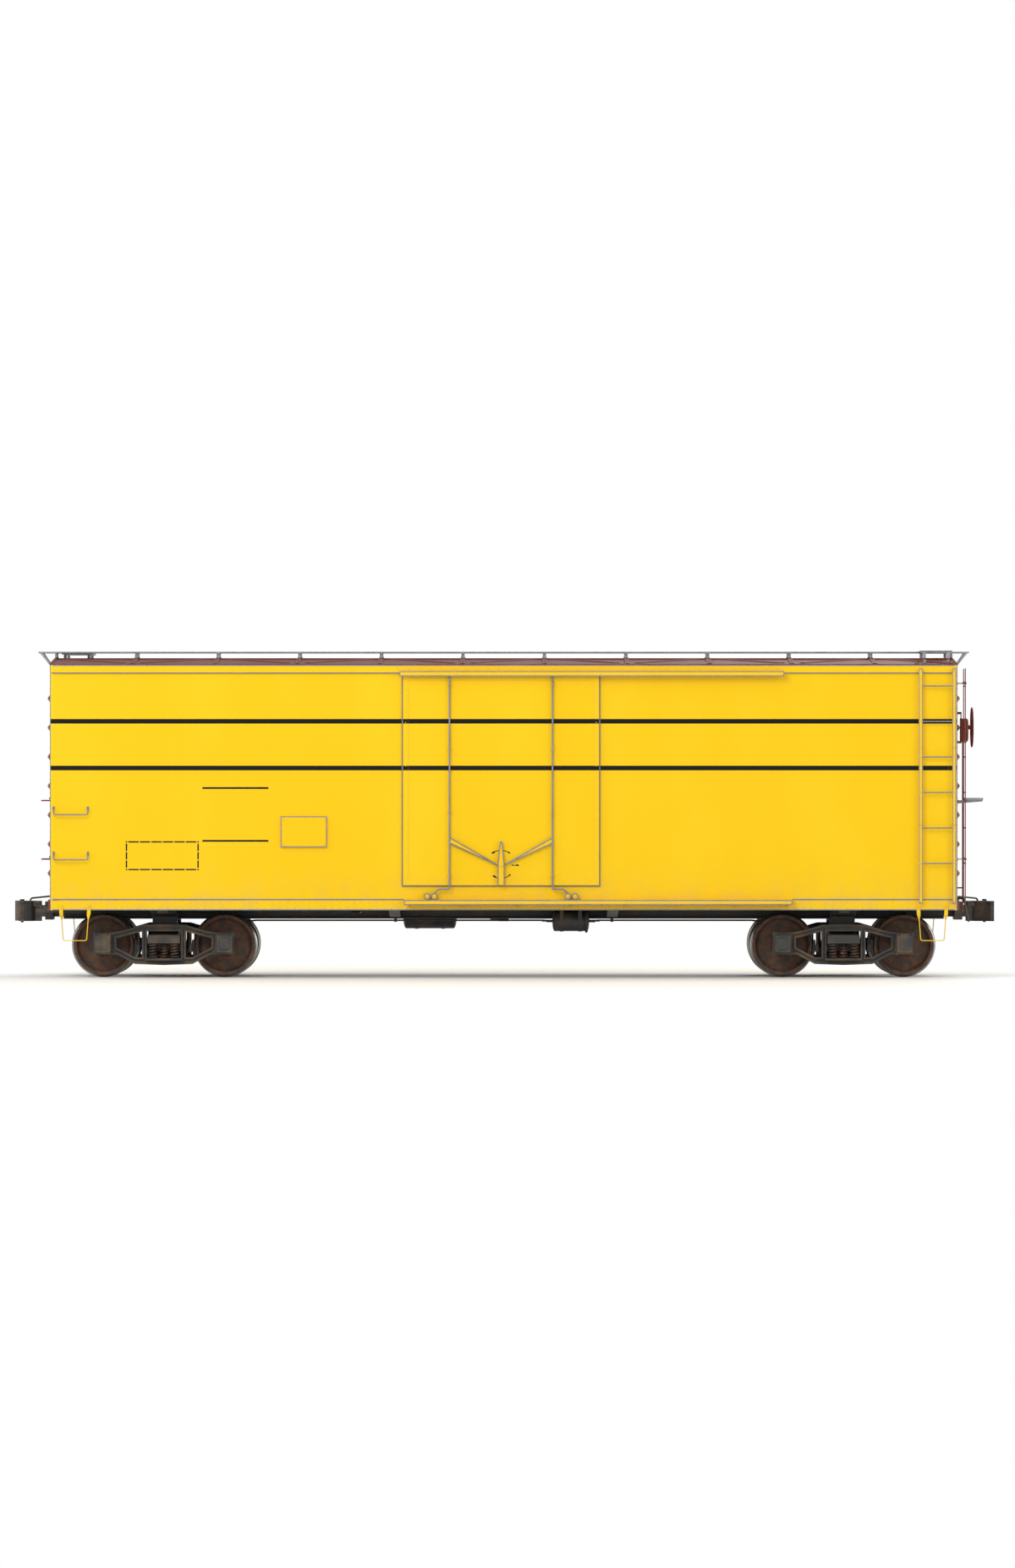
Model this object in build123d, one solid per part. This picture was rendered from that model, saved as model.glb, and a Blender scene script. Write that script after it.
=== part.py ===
"""Insulated railroad boxcar of the early 1950s, forty feet long inside, with a plug door in each side.

Millimetres, +Z up, +X towards the B end, which carries the hand brake. The side drawn in the reference
faces -Y and is called the near side. The origin is on the floor under the middle of the car, and the
wheel flanges stand on that floor, so the top of the rail is one flange height above it.
Whatever is on one side or end is turned half round the origin for the other, as on the real car.
"""

from build123d import *
import os
from math import atan2, cos, degrees, pi, radians, sin

FOOT = 304.8
INCH = 25.4

# Wheels and axles
FLANGE_HEIGHT = 1 * INCH
FLANGE_THICKNESS = 33.0
FLANGE_TIP = 14.0
TREAD_RADIUS = 16.5 * INCH
RIM_WIDTH = 145.0
RIM_DEPTH = 48.0
WHEEL_BACK_SPACING = 1353.0
WHEEL_SIDES = 32
PLATE_THICKNESS = 27.0
PLATE_INSET = 48.0
PLATE_DRAFT = 14.0
HUB_RADIUS = 135.0
HUB_SIDES = 16
HUB_LENGTH = 176.0
HUB_BEHIND_RIM = 16.0
WHEEL_SEAT_RADIUS = 89.0
AXLE_MIDDLE_RADIUS = 80.0
AXLE_SIDES = 12
JOURNAL_RADIUS = 70.0
JOURNAL_LENGTH = 254.0
JOURNAL_SPACING = 6 * FOOT + 5 * INCH
JOURNAL_END_PLAY = 3.0
RUNNING_CLEARANCE = 0.3

# Trucks
TRUCK_SPACING = 30 * FOOT + 8 * INCH
WHEELBASE = 5 * FOOT + 6 * INCH
SIDE_FRAME_THICKNESS = 116.0
SIDE_FRAME_POCKET = 34.0
SIDE_FRAME_RIM = 26.0
BOX_WIDTH = 232.0
BOX_REAR_GAP = 24.0
SPRING_SEAT_HEIGHT = 240.0
SPRING_HEIGHT = 204.0
SPRING_RADIUS = 60.0
SPRING_TURNS = 4
SPRING_SIDES = 6
SPRING_WAIST = 44.0
SPRING_SPREAD_X = 150.0
SPRING_SPREAD_Y = 72.0
COLUMN_OPENING = 470.0
COLUMN_OPENING_TOP_HEIGHT = 612.0
BOLSTER_SIDE_CLEARANCE = 12.0
CENTER_PLATE_RADIUS = 6 * INCH
CENTER_PLATE_HEIGHT = 25.75 * INCH
BOWL_RIM = 22.0
BOLSTER_SHOULDER_Y = 700.0
BOWL_DEPTH = 28.0
KING_PIN_RADIUS = 22.0
SIDE_BEARING_OFFSET = 25 * INCH
SIDE_BEARING_GAP = 6.0
SHOE_GAP = 8.0
SHOE_THICKNESS = 38.0
SHOE_WIDTH = 82.0
SHOE_HALF_ANGLE = 16.0
BRAKE_BEAM_HEIGHT = 362.0
BEAM_BEHIND_SHOE = 34.0
HANGER_LUG_HEIGHT = 578.0
RIGGING_LEVER_SETBACK = 52.0
RIGGING_LEVER_HEIGHTS = (232.0, 600.0)
TIE_ROD_HEIGHT = 262.0

# Body, over the sheets and over the eaves. Heights are above the top of the rail.
INSIDE_LENGTH = 40 * FOOT
INSIDE_WIDTH = 9 * FOOT
INSIDE_HEIGHT = 9 * FOOT + 1 * INCH
END_WALL_THICKNESS = 119.0
SIDE_WALL_THICKNESS = 118.0
EAVES_WIDTH = 9 * FOOT + 11 * INCH
EAVES_HEIGHT = 14 * FOOT
EXTREME_WIDTH = 10 * FOOT + 8 * INCH
SIDE_PLATE_DEPTH = 102.0
SILL_BOTTOM_HEIGHT = 907.0
SILL_DEPTH = 144.0
SILL_FLANGE = 80.0
SILL_METAL = 10.0
SILL_PROUD = 6.0
FLOOR_HEIGHT = 1310.0
FLOOR_THICKNESS = 210.0
CORNER_RADIUS = 36.0

# Roof and running board
ROOF_RISE = 104.0
ROOF_EDGE = 12.0
ROOF_PANELS = 11
SEAM_WIDTH = 58.0
SEAM_HEIGHT = 20.0
SEAM_FALL = 8.0
DIAGONAL_WIDTH = 120.0
DIAGONAL_HEIGHT = 16.0
DIAGONAL_TAPER = 55.0
DIAGONAL_END_GAP = 130.0
WALK_WIDTH = 508.0
WALK_GAP = 36.8
WALK_THICKNESS = 30.0
WALK_OVERHANG = 230.0
WALK_BARS = 7
WALK_BAR = 8.0
WALK_CROSS_BAR = 12.0
WALK_SADDLE_INSET = 20.0
LATERAL_LENGTH = 1010.0
LATERAL_WIDTH = 430.0
LATERAL_INSET = 60.0
LATERAL_GAP = 6.0
LEG_SEAT_GAP = 0.3
LATERAL_BARS = 6

# Corrugated ends
END_RIBS = 7
END_RIB_RADIUS = 82.0
END_RIB_NECK = 34.0
END_RIB_BARREL = 1180.0
END_RIB_TAPER = 240.0
END_RIB_LENGTH = 2700.0
END_RIB_TIP = 40.0
END_RIB_TIP_RADIUS = 10.0
END_RIB_SIDES = 12
END_SILL_PROUD = 26.0

# Door in the near side, whose middle is a little left of the middle of the car
DOOR_X = -36.0
DOOR_SIDE_OVERLAP = 122.3
DOOR_SILL_OVERLAP = 60.0
DOOR_TRACK_OVERLAP = 15.0
DOOR_FACE_THICKNESS = 38.0
DOORWAY_WIDTH = 8 * FOOT
DOOR_HEAD_OVERLAP = 80.0
DOORWAY_CLEARANCE = 12.0
DOOR_BORDER = 70.0
DOOR_BORDER_PROUD = 5.0
ROD_SPACING = 1410.0
ROD_RADIUS = 19.0
ROD_SIDES = 12
ROD_STAND_OFF = 12.0
ROD_BOTTOM_HEIGHT = 1184.0
ROD_BRACKETS = 4
ROD_BRACKET = (70.0, 52.0)
ROD_BRACKET_RISE = 130.0
ROLLER_RADIUS = 47.0
ROLLER_SIDES = 10
ROLLER_WIDTH = 36.0
ROLLER_OFFSETS = (208.0, 308.0)
CRANK_RUN = 150.0
CRANK_DEPTH = 26.0
LEVER_PIN_HEIGHT = 1524.0
LEVER_END_HEIGHT = 1867.0
LEVER_END_DEPTH = 74.0
LEVER_TIP_DEPTH = 16.0
LEVER_THICKNESS = 14.0
HANDLE_TOP_HEIGHT = 1853.0
HANDLE_WIDTH = 82.0
HANDLE_TIP_WIDTH = 28.0
BOSS_RADIUS = 46.0
BOSS_REACH = 40.0
LOWER_TRACK_SPAN = (-1365.0, 3952.0)
LOWER_TRACK_DEPTH = 71.0
TRACK_METAL = 12.0
TRACK_GUSSETS = 8
UPPER_TRACK_SPAN = (-1429.0, 3841.0)
UPPER_TRACK_DEPTH = 73.0
UPPER_TRACK_REACH = 112.0
UPPER_TRACK_DROP = 56.2

# Ladders, grab irons, steps and boards
LADDER_X = (5709.0, 6166.0)
LADDER_HEIGHTS = (999.0, 4221.0)
STILE_WIDTH = 53.0
STILE_THICKNESS = 12.0
LADDER_STAND_OFF = 75.0
RUNG_RADIUS = 9.5
RUNG_COUNT = 6
LADDER_FEET = 4
LADDER_FOOT = 50.0
THIN_BAR_SIDES = 8
RUNG_LOW_HEIGHT = 1549.0
RUNG_PITCH = 486.0
END_LADDER_Y = (-1405.0, -985.0)
END_LADDER_STAND_OFF = 118.0
GRAB_X = (-6163.0, -5694.0)
GRAB_HEIGHTS = (2217.0, 1599.0)
GRAB_DROP = 66.0
GRAB_STAND_OFF = 64.0
END_GRAB_Y = (960.0, 1400.0)
STEP_WIDTH = 380.0
STEP_DROP = 420.0
STEP_BAR = (50.0, 11.0)
STEP_X = 5870.0
BOARD_X = (-3055.0, -2420.0)
BOARD_HEIGHTS = (1770.0, 2195.0)
BOARD_THICKNESS = 24.0

# Underframe
CENTER_SILL_BOTTOM_HEIGHT = 770.0
CENTER_SILL_INSIDE = 328.0
CENTER_SILL_WEB = 12.0
CENTER_SILL_FLANGE = 92.0
CROSS_TOP_HEIGHT = 1045.0
BOLSTER_LENGTH = 350.0
BOLSTER_SHALLOW_HEIGHT = 905.0
JACK_PAD = 150.0
JACK_PAD_DROP = 36.0
CROSS_TIE_DEPTH = 100.0
CROSS_MEMBERS = (
    # x, length along the car, depth beside the centre sill
    (600.0, 76.0, CROSS_TIE_DEPTH),
    (1500.0, 150.0, 250.0),
    (2500.0, 76.0, CROSS_TIE_DEPTH),
    (3450.0, 76.0, CROSS_TIE_DEPTH),
    (5600.0, 76.0, CROSS_TIE_DEPTH),
)
STRINGER_YS = (430.0, 930.0)
STRINGER_WIDTH = 80.0

# Couplers and end fittings
COUPLER_HEIGHT = 34.5 * INCH
COUPLER_REACH = 546.0
SHANK_WIDTH = 130.0
SHANK_DEPTH = 160.0
HEAD_DEPTH = 280.0
KNUCKLE_DEPTH = 229.0
KNUCKLE_PIN_RADIUS = 20.5
KNUCKLE_PIN = (-84.0, 108.0)
STRIKER_REACH = 140.0
STRIKER_WIDTH = 430.0
STRIKER_WALL = 40.0
SHANK_SIDE_PLAY = 30.0
SHANK_RISE = 12.0
CUT_LEVER_RADIUS = 12.5
CUT_LEVER_END_Y = 1340.0
CUT_LEVER_DROP = 330.0
CUT_LEVER_STAND_OFF = 92.0

# Air brake and hand brake
PIPE_RADIUS = 21.0
PIPE_HEIGHT = 878.0
PIPE_Y = 330.0
PIPE_CROSSING_X = -2000.0
PIPE_BEND = 120.0
PIPE_SIDES = 12
PIPE_HOLE_CLEARANCE = 6.0
HOSE_BORE_RADIUS = 19.0
HOSE_BORE_DEPTH = 40.0
COCK_RADIUS = 31.0
COCK_X = 6380.0
CYLINDER_RADIUS = 140.0
CYLINDER_X = (700.0, 1150.0)
CYLINDER_Y = -660.0
ROD_PLANE_HEIGHT = 746.0
RESERVOIR_RADIUS = 195.0
RESERVOIR_X = (-1360.0, -700.0)
RESERVOIR_HEIGHT = 815.0
TANK_SIDES = 18
DOME_SHARE = 0.82
TANK_Y = 680.0
BRAKE_ROD_RADIUS = 12.0
ROD_BEND_FROM_TRUCK = 1240.0
ROD_EYE_FROM_TRUCK = 300.0
ROD_EYE_HEIGHT = 640.0
VALVE_HEIGHT = 850.0
LEVER_XS = (560.0, 1290.0)
LEVER_WIDTH = 64.0
BRAKE_WHEEL_RADIUS = 11 * INCH
BRAKE_WHEEL_Y = -560.0
BRAKE_WHEEL_HEIGHT = 3420.0
BRAKE_WHEEL_STAND_OFF = 250.0
BRAKE_WHEEL_SPOKES = 6
BRAKE_WHEEL_RIM = (22.0, 26.0)
BRAKE_WHEEL_SIDES = 24
SPOKE_RADIUS = 8.0
BRAKE_HOUSING = (110.0, 240.0, 330.0)
BRAKE_STEP = (250.0, 560.0, 36.0)
BRAKE_STEP_STAND_OFF = 138.0
BRAKE_STEP_AT_GAP = 3

# Worked out from the sizes above
RAIL_Z = FLANGE_HEIGHT
AXLE_Z = RAIL_Z + TREAD_RADIUS
FLANGE_RADIUS = TREAD_RADIUS + FLANGE_HEIGHT
TRUCK_X = TRUCK_SPACING / 2
JOURNAL_Y = JOURNAL_SPACING / 2
WHEEL_BACK_Y = WHEEL_BACK_SPACING / 2
HUB_OUTER_Y = WHEEL_BACK_Y - HUB_BEHIND_RIM + HUB_LENGTH
JOURNAL_OUT_Y = JOURNAL_Y + JOURNAL_LENGTH / 2
END_X = INSIDE_LENGTH / 2 + END_WALL_THICKNESS
INNER_X = INSIDE_LENGTH / 2
INNER_Y = INSIDE_WIDTH / 2
SIDE_Y = INNER_Y + SIDE_WALL_THICKNESS
EAVES_Y = EAVES_WIDTH / 2
EXTREME_Y = EXTREME_WIDTH / 2
SILL_Y = SIDE_Y + SILL_PROUD
SILL_BOTTOM_Z = RAIL_Z + SILL_BOTTOM_HEIGHT
SILL_TOP_Z = SILL_BOTTOM_Z + SILL_DEPTH
EAVES_Z = RAIL_Z + EAVES_HEIGHT
PLATE_BOTTOM_Z = EAVES_Z - SIDE_PLATE_DEPTH
FLOOR_Z = RAIL_Z + FLOOR_HEIGHT
FLOOR_BOTTOM_Z = FLOOR_Z - FLOOR_THICKNESS
CEILING_Z = FLOOR_Z + INSIDE_HEIGHT
RIDGE_Z = EAVES_Z + ROOF_EDGE + ROOF_RISE
WALK_TOP_Z = RIDGE_Z + SEAM_HEIGHT + WALK_GAP + WALK_THICKNESS
CROSS_TOP_Z = RAIL_Z + CROSS_TOP_HEIGHT
CENTER_SILL_BOTTOM_Z = RAIL_Z + CENTER_SILL_BOTTOM_HEIGHT
CENTER_SILL_WEB_Y = CENTER_SILL_INSIDE / 2 + CENTER_SILL_WEB
UPPER_TRACK_Z = PLATE_BOTTOM_Z - UPPER_TRACK_DROP
DOOR_TOP_Z = UPPER_TRACK_Z + DOOR_TRACK_OVERLAP
DOORWAY_TOP_Z = DOOR_TOP_Z - DOOR_HEAD_OVERLAP
DOOR_BOTTOM_Z = FLOOR_Z - DOOR_SILL_OVERLAP
DOOR_WIDTH = DOORWAY_WIDTH + 2 * DOOR_SIDE_OVERLAP
DOOR_FACE_Y = SIDE_Y + DOOR_FACE_THICKNESS
ROD_Y = DOOR_FACE_Y + ROD_STAND_OFF + ROD_RADIUS
COUPLER_Z = RAIL_Z + COUPLER_HEIGHT
CENTER_PLATE_Z = RAIL_Z + CENTER_PLATE_HEIGHT

MADE = {}


def node(name, *shapes):
    """Keeps the solids of one named piece for writing."""
    solids = [solid for shape in shapes for solid in shape.solids()]
    MADE[name] = solids[0] if len(solids) == 1 else Compound(children=solids)


def block(x, y, z):
    """A box between a low and a high value on each axis."""
    size = [high - low for low, high in (x, y, z)]
    middle = [(high + low) / 2 for low, high in (x, y, z)]
    return Pos(*middle) * Box(*size)


def prism_x(outline, x_low, x_high):
    """An outline of (y, z) points carried along the car."""
    face = make_face(Polyline(*[(x_low, y, z) for y, z in outline], close=True))
    return extrude(face, amount=x_high - x_low, dir=(1, 0, 0))


def prism_y(outline, y_low, y_high):
    """An outline of (x, z) points carried across the car."""
    face = make_face(Polyline(*[(x, y_low, z) for x, z in outline], close=True))
    return extrude(face, amount=y_high - y_low, dir=(0, 1, 0))


def prism_z(outline, z_low, z_high):
    """An outline of (x, y) points carried upwards."""
    face = make_face(Polyline(*[(x, y, z_low) for x, y in outline], close=True))
    return extrude(face, amount=z_high - z_low, dir=(0, 0, 1))


def rod(start, end, radius):
    """A round bar between two points."""
    along = Vector(*end) - Vector(*start)
    plane = Plane(origin=start, z_dir=along)
    return extrude(plane * Circle(radius), amount=along.length)


def bar(points, radius, sides=THIN_BAR_SIDES):
    """A round bar along straight runs with mitred bends. It has few sides, because there are many of them."""
    path = Polyline(*points)
    plane = Plane(origin=path @ 0, z_dir=path % 0)
    section = plane * RegularPolygon(radius, sides, major_radius=False, rotation=180 / sides)
    return sweep(section, path=path, transition=Transition.RIGHT)


def faceted(stations, sides):
    """A many-sided piece round the Y axis with flats at its top and bottom, from (y, distance to a flat)."""
    rings = []
    for y, reach in stations:
        corner = reach / cos(pi / sides)
        turns = [2 * pi * (number + 0.5) / sides for number in range(sides)]
        rings.append([(corner * sin(turn), y, corner * cos(turn)) for turn in turns])
    outlines = [rings[0], rings[-1]]
    for near, far in zip(rings, rings[1:]):
        for number in range(sides):
            other = (number + 1) % sides
            outlines.append([near[number], near[other], far[other], far[number]])
    return Solid(Shell([make_face(Polyline(*points, close=True)).face() for points in outlines]))


def half_round(shape):
    """The same piece on the other side and end of the car."""
    return Rot(0, 0, 180) * shape


def both(shape):
    """A piece and its twin turned half round the car."""
    return [shape, half_round(shape)]


def wheel():
    """One wheel, its back face on the XZ plane: flanged rim, thin plate and hub, bored for the axle."""
    rim_inside = TREAD_RADIUS - RIM_DEPTH
    plate_front = PLATE_INSET + PLATE_THICKNESS
    hub_front = HUB_LENGTH - HUB_BEHIND_RIM
    outside = [
        (0, FLANGE_RADIUS),
        (FLANGE_TIP, FLANGE_RADIUS),
        (FLANGE_THICKNESS, TREAD_RADIUS),
        (RIM_WIDTH, TREAD_RADIUS),
    ]
    hub = [
        (-HUB_BEHIND_RIM, HUB_RADIUS),
        (PLATE_INSET, HUB_RADIUS + PLATE_DRAFT),
        (plate_front, HUB_RADIUS + PLATE_DRAFT),
        (hub_front, HUB_RADIUS),
    ]
    body = faceted(outside, WHEEL_SIDES)
    body -= faceted([(0, rim_inside), (PLATE_INSET, rim_inside - PLATE_DRAFT)], WHEEL_SIDES)
    body -= faceted([(plate_front, rim_inside - PLATE_DRAFT), (RIM_WIDTH, rim_inside)], WHEEL_SIDES)
    body += faceted(hub, HUB_SIDES)
    return body - faceted([(-HUB_BEHIND_RIM, WHEEL_SEAT_RADIUS), (hub_front, WHEEL_SEAT_RADIUS)], HUB_SIDES)


def wheels(x):
    """The two wheels of one axle."""
    right = Pos(0, WHEEL_BACK_Y, 0) * wheel()
    place = Pos(x, 0, AXLE_Z)
    return [place * right, place * half_round(right)]


def axle(x):
    """A solid-bearing axle: a round journal outside each wheel seat, and a plain middle."""
    seat_in_y = WHEEL_BACK_Y - HUB_BEHIND_RIM
    body = faceted([(-seat_in_y, AXLE_MIDDLE_RADIUS), (seat_in_y, AXLE_MIDDLE_RADIUS)], AXLE_SIDES)
    seat = faceted([(seat_in_y, WHEEL_SEAT_RADIUS), (HUB_OUTER_Y, WHEEL_SEAT_RADIUS)], HUB_SIDES)
    journal = rod((0, HUB_OUTER_Y, 0), (0, JOURNAL_OUT_Y, 0), JOURNAL_RADIUS)
    return Pos(x, 0, AXLE_Z) * (body + both(seat) + both(journal))


# Outer edge and triangular window of a cast side frame, right half, as x and height above the rail
FRAME_EDGE = [(0, 706), (290, 700), (560, 622), (700, 596), (975, 596), (975, 292), (735, 284), (650, 296)]
FRAME_EDGE += [(395, 160), (0, 146)]
FRAME_WINDOW = [(302, 606), (302, 252), (392, 252), (655, 388), (655, 516)]


def side_frame(truck_x):
    """One cast side frame with its two journal boxes, spring seat and journal bores."""
    frame_y = (JOURNAL_Y - SIDE_FRAME_THICKNESS / 2, JOURNAL_Y + SIDE_FRAME_THICKNESS / 2)
    edge = [(x, RAIL_Z + z) for x, z in FRAME_EDGE] + [(-x, RAIL_Z + z) for x, z in FRAME_EDGE[-2:0:-1]]
    window = [(x, RAIL_Z + z) for x, z in FRAME_WINDOW]
    column = COLUMN_OPENING / 2
    seat_z = RAIL_Z + SPRING_SEAT_HEIGHT
    opening_top = RAIL_Z + COLUMN_OPENING_TOP_HEIGHT
    opening = [(-column, seat_z), (column, seat_z), (column, opening_top), (-column, opening_top)]
    face = make_face(Polyline(*[(x, 0, z) for x, z in edge], close=True))
    for hole in (window, [(-x, z) for x, z in reversed(window)], opening):
        face -= make_face(Polyline(*[(x, 0, z) for x, z in hole], close=True))
    body = Pos(0, frame_y[0], 0) * extrude(face, amount=SIDE_FRAME_THICKNESS, dir=(0, 1, 0))
    pocket_face = offset(face, amount=-SIDE_FRAME_RIM, kind=Kind.INTERSECTION)
    pocket = Pos(0, frame_y[1] - SIDE_FRAME_POCKET, 0) * extrude(
        pocket_face, amount=SIDE_FRAME_POCKET, dir=(0, 1, 0)
    )
    body -= pocket
    seat = block((-column - 14, column + 14), (JOURNAL_Y - 148, JOURNAL_Y + 148), (seat_z - 28, seat_z))
    body += seat
    box_back = HUB_OUTER_Y + BOX_REAR_GAP
    box_front = JOURNAL_OUT_Y + 30.0
    box_z = (AXLE_Z - 122.0, AXLE_Z + 152.0)
    bearing = JOURNAL_RADIUS + RUNNING_CLEARANCE
    for way in (-1, 1):
        x = way * WHEELBASE / 2
        box = block((x - BOX_WIDTH / 2, x + BOX_WIDTH / 2), (box_back, box_front), box_z)
        lid_outline = [
            (box_front, box_z[0] + 12),
            (box_front + 36, box_z[0] + 26),
            (box_front + 14, box_z[1] - 20),
            (box_front, box_z[1] - 14),
        ]
        lid = prism_x(lid_outline, x - BOX_WIDTH / 2 + 14, x + BOX_WIDTH / 2 - 14)
        hinge = bar([(x - 62, box_front + 8, box_z[1] - 6), (x + 62, box_front + 8, box_z[1] - 6)], 15)
        body = body + [box, lid, hinge]
        body -= rod((x, box_back - 60, AXLE_Z), (x, JOURNAL_OUT_Y + JOURNAL_END_PLAY, AXLE_Z), bearing)
    return Pos(truck_x, 0, 0) * body


def truck_bolster(truck_x):
    """The cross beam of a truck with its centre bowl and side bearings."""
    end_y = JOURNAL_Y + 128
    half = COLUMN_OPENING / 2 - BOLSTER_SIDE_CLEARANCE
    spring_top = SPRING_SEAT_HEIGHT + SPRING_HEIGHT
    top = CENTER_PLATE_HEIGHT
    outline = [
        (end_y, spring_top + 118),
        (end_y, spring_top),
        (JOURNAL_Y - 165, spring_top),
        (300, 322),
        (-300, 322),
        (-JOURNAL_Y + 165, spring_top),
        (-end_y, spring_top),
        (-end_y, spring_top + 118),
        (-BOLSTER_SHOULDER_Y, top - 62),
        (-230, top - 14),
        (230, top - 14),
        (BOLSTER_SHOULDER_Y, top - 62),
    ]
    beam = prism_x([(y, RAIL_Z + z) for y, z in outline], -half + 40, half - 40)
    pads = [
        block(
            (-half, half),
            (side * JOURNAL_Y - 128, side * JOURNAL_Y + 128),
            (RAIL_Z + spring_top, RAIL_Z + spring_top + 118),
        )
        for side in (-1, 1)
    ]
    bowl_radius = CENTER_PLATE_RADIUS + 3.0
    bowl = rod((0, 0, CENTER_PLATE_Z - 40), (0, 0, CENTER_PLATE_Z + BOWL_DEPTH), bowl_radius + BOWL_RIM)
    bearings = [
        block(
            (-130, 130),
            (side * SIDE_BEARING_OFFSET - 50, side * SIDE_BEARING_OFFSET + 50),
            (RAIL_Z + top - 80, CENTER_PLATE_Z + BOWL_DEPTH + 10),
        )
        for side in (-1, 1)
    ]
    beam = beam + pads + [bowl] + bearings
    beam -= rod((0, 0, CENTER_PLATE_Z), (0, 0, CENTER_PLATE_Z + 100), bowl_radius)
    beam -= rod((0, 0, CENTER_PLATE_Z - 120), (0, 0, CENTER_PLATE_Z + 1), KING_PIN_RADIUS + RUNNING_CLEARANCE)
    return Pos(truck_x, 0, 0) * beam


def spring_nests(truck_x):
    """Five coil springs under each end of a truck bolster, each coil a bulge of a grooved column."""
    low = RAIL_Z + SPRING_SEAT_HEIGHT
    pitch = SPRING_HEIGHT / SPRING_TURNS
    stations = [(0, SPRING_WAIST)]
    for count in range(SPRING_TURNS):
        stations += [((count + 0.5) * pitch, SPRING_RADIUS), ((count + 1) * pitch, SPRING_WAIST)]
    spring = Pos(0, 0, low) * Rot(90, 0, 0) * faceted(stations, SPRING_SIDES)
    places = [(0.0, 0.0)]
    places += [(sx * SPRING_SPREAD_X, sy * SPRING_SPREAD_Y) for sx in (-1, 1) for sy in (-1, 1)]
    return [
        Pos(truck_x + x, side * JOURNAL_Y + y, 0) * spring for side in (-1, 1) for x, y in places
    ]


def brake_rigging(truck_x):
    """Two brake beams with their shoes, hangers, levers and the rod that joins them."""
    shoe_y = (WHEEL_BACK_Y + FLANGE_THICKNESS + 6, WHEEL_BACK_Y + FLANGE_THICKNESS + 6 + SHOE_WIDTH)
    beam_z = RAIL_Z + BRAKE_BEAM_HEIGHT
    inner = TREAD_RADIUS + SHOE_GAP
    outer = inner + SHOE_THICKNESS
    drop = degrees(atan2(TREAD_RADIUS - BRAKE_BEAM_HEIGHT, outer))
    frame_in_y = JOURNAL_Y - SIDE_FRAME_THICKNESS / 2
    hanger_y = (HUB_OUTER_Y + frame_in_y) / 2 - 14
    solids = []
    for way in (-1, 1):
        wheel_x = way * WHEELBASE / 2
        inward = 180.0 + drop if way > 0 else -drop
        ring = []
        for radius, order in ((inner, 1), (outer, -1)):
            for step in range(0, 5)[::order]:
                angle = radians(inward - SHOE_HALF_ANGLE + step * SHOE_HALF_ANGLE / 2)
                ring.append((wheel_x + radius * cos(angle), AXLE_Z + radius * sin(angle)))
        back_x = wheel_x - way * (outer + BEAM_BEHIND_SHOE)
        beam_x = sorted((back_x, wheel_x - way * (outer - 6)))
        pieces = []
        for side in (-1, 1):
            low, high = sorted((side * shoe_y[0], side * shoe_y[1]))
            pieces.append(prism_y(ring, low, high))
            head_low, head_high = sorted((side * (shoe_y[0] + 12), side * (hanger_y + 12)))
            pieces.append(block(beam_x, (head_low, head_high), (beam_z - 40, beam_z + 55)))
            hang_x = back_x + way * 14
            lug_z = RAIL_Z + HANGER_LUG_HEIGHT
            pieces.append(
                bar([(hang_x, side * hanger_y, beam_z), (hang_x, side * hanger_y, lug_z)], 11)
            )
            pieces.append(
                bar([(hang_x, side * (hanger_y - 16), lug_z), (hang_x, side * frame_in_y, lug_z)], 14)
            )
            pieces.append(
                bar([(back_x + way * 16, side * shoe_y[0], beam_z), (back_x - way * 62, 0, beam_z)], 13)
            )
        channel = block(beam_x, (-shoe_y[0] - 14, shoe_y[0] + 14), (beam_z - 26, beam_z + 26))
        strut = block(sorted((back_x + way * 6, back_x - way * 76)), (-22, 22), (beam_z - 22, beam_z + 22))
        lever_x = back_x - way * RIGGING_LEVER_SETBACK
        lever_foot, lever_top = [RAIL_Z + height for height in RIGGING_LEVER_HEIGHTS]
        tilt = -way * 26
        lever = prism_y(
            [
                (lever_x - 34, lever_foot),
                (lever_x + 34, lever_foot),
                (lever_x + 34, beam_z + 20),
                (lever_x + 22 - tilt, lever_top),
                (lever_x - 22 - tilt, lever_top),
                (lever_x - 34, beam_z + 20),
            ],
            -12,
            12,
        )
        solids += pieces + [channel, strut, lever]
    tie_x = WHEELBASE / 2 - outer - BEAM_BEHIND_SHOE - RIGGING_LEVER_SETBACK
    tie_z = RAIL_Z + TIE_ROD_HEIGHT
    tie = bar([(-tie_x, 0, tie_z), (tie_x, 0, tie_z)], 19)
    rigging = tie + solids
    return Pos(truck_x, 0, 0) * rigging


def make_trucks():
    """Both trucks, each with its frames, bolster, springs, brakes and two wheelsets."""
    for end, truck_x in (("b", TRUCK_X), ("a", -TRUCK_X)):
        frame = side_frame(0)
        frames = [Pos(truck_x, 0, 0) * frame, Pos(truck_x, 0, 0) * half_round(frame)]
        node(f"{end}_truck_side_frames", *frames)
        node(f"{end}_truck_bolster", truck_bolster(truck_x))
        node(f"{end}_truck_springs", *spring_nests(truck_x))
        node(f"{end}_truck_brake_rigging", brake_rigging(truck_x))
        outwards = 1 if truck_x > 0 else -1
        for place, way in (("outer", outwards), ("inner", -outwards)):
            x = truck_x + way * WHEELBASE / 2
            node(f"{end}_{place}_wheels", *wheels(x))
            node(f"{end}_{place}_axle", axle(x))


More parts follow.
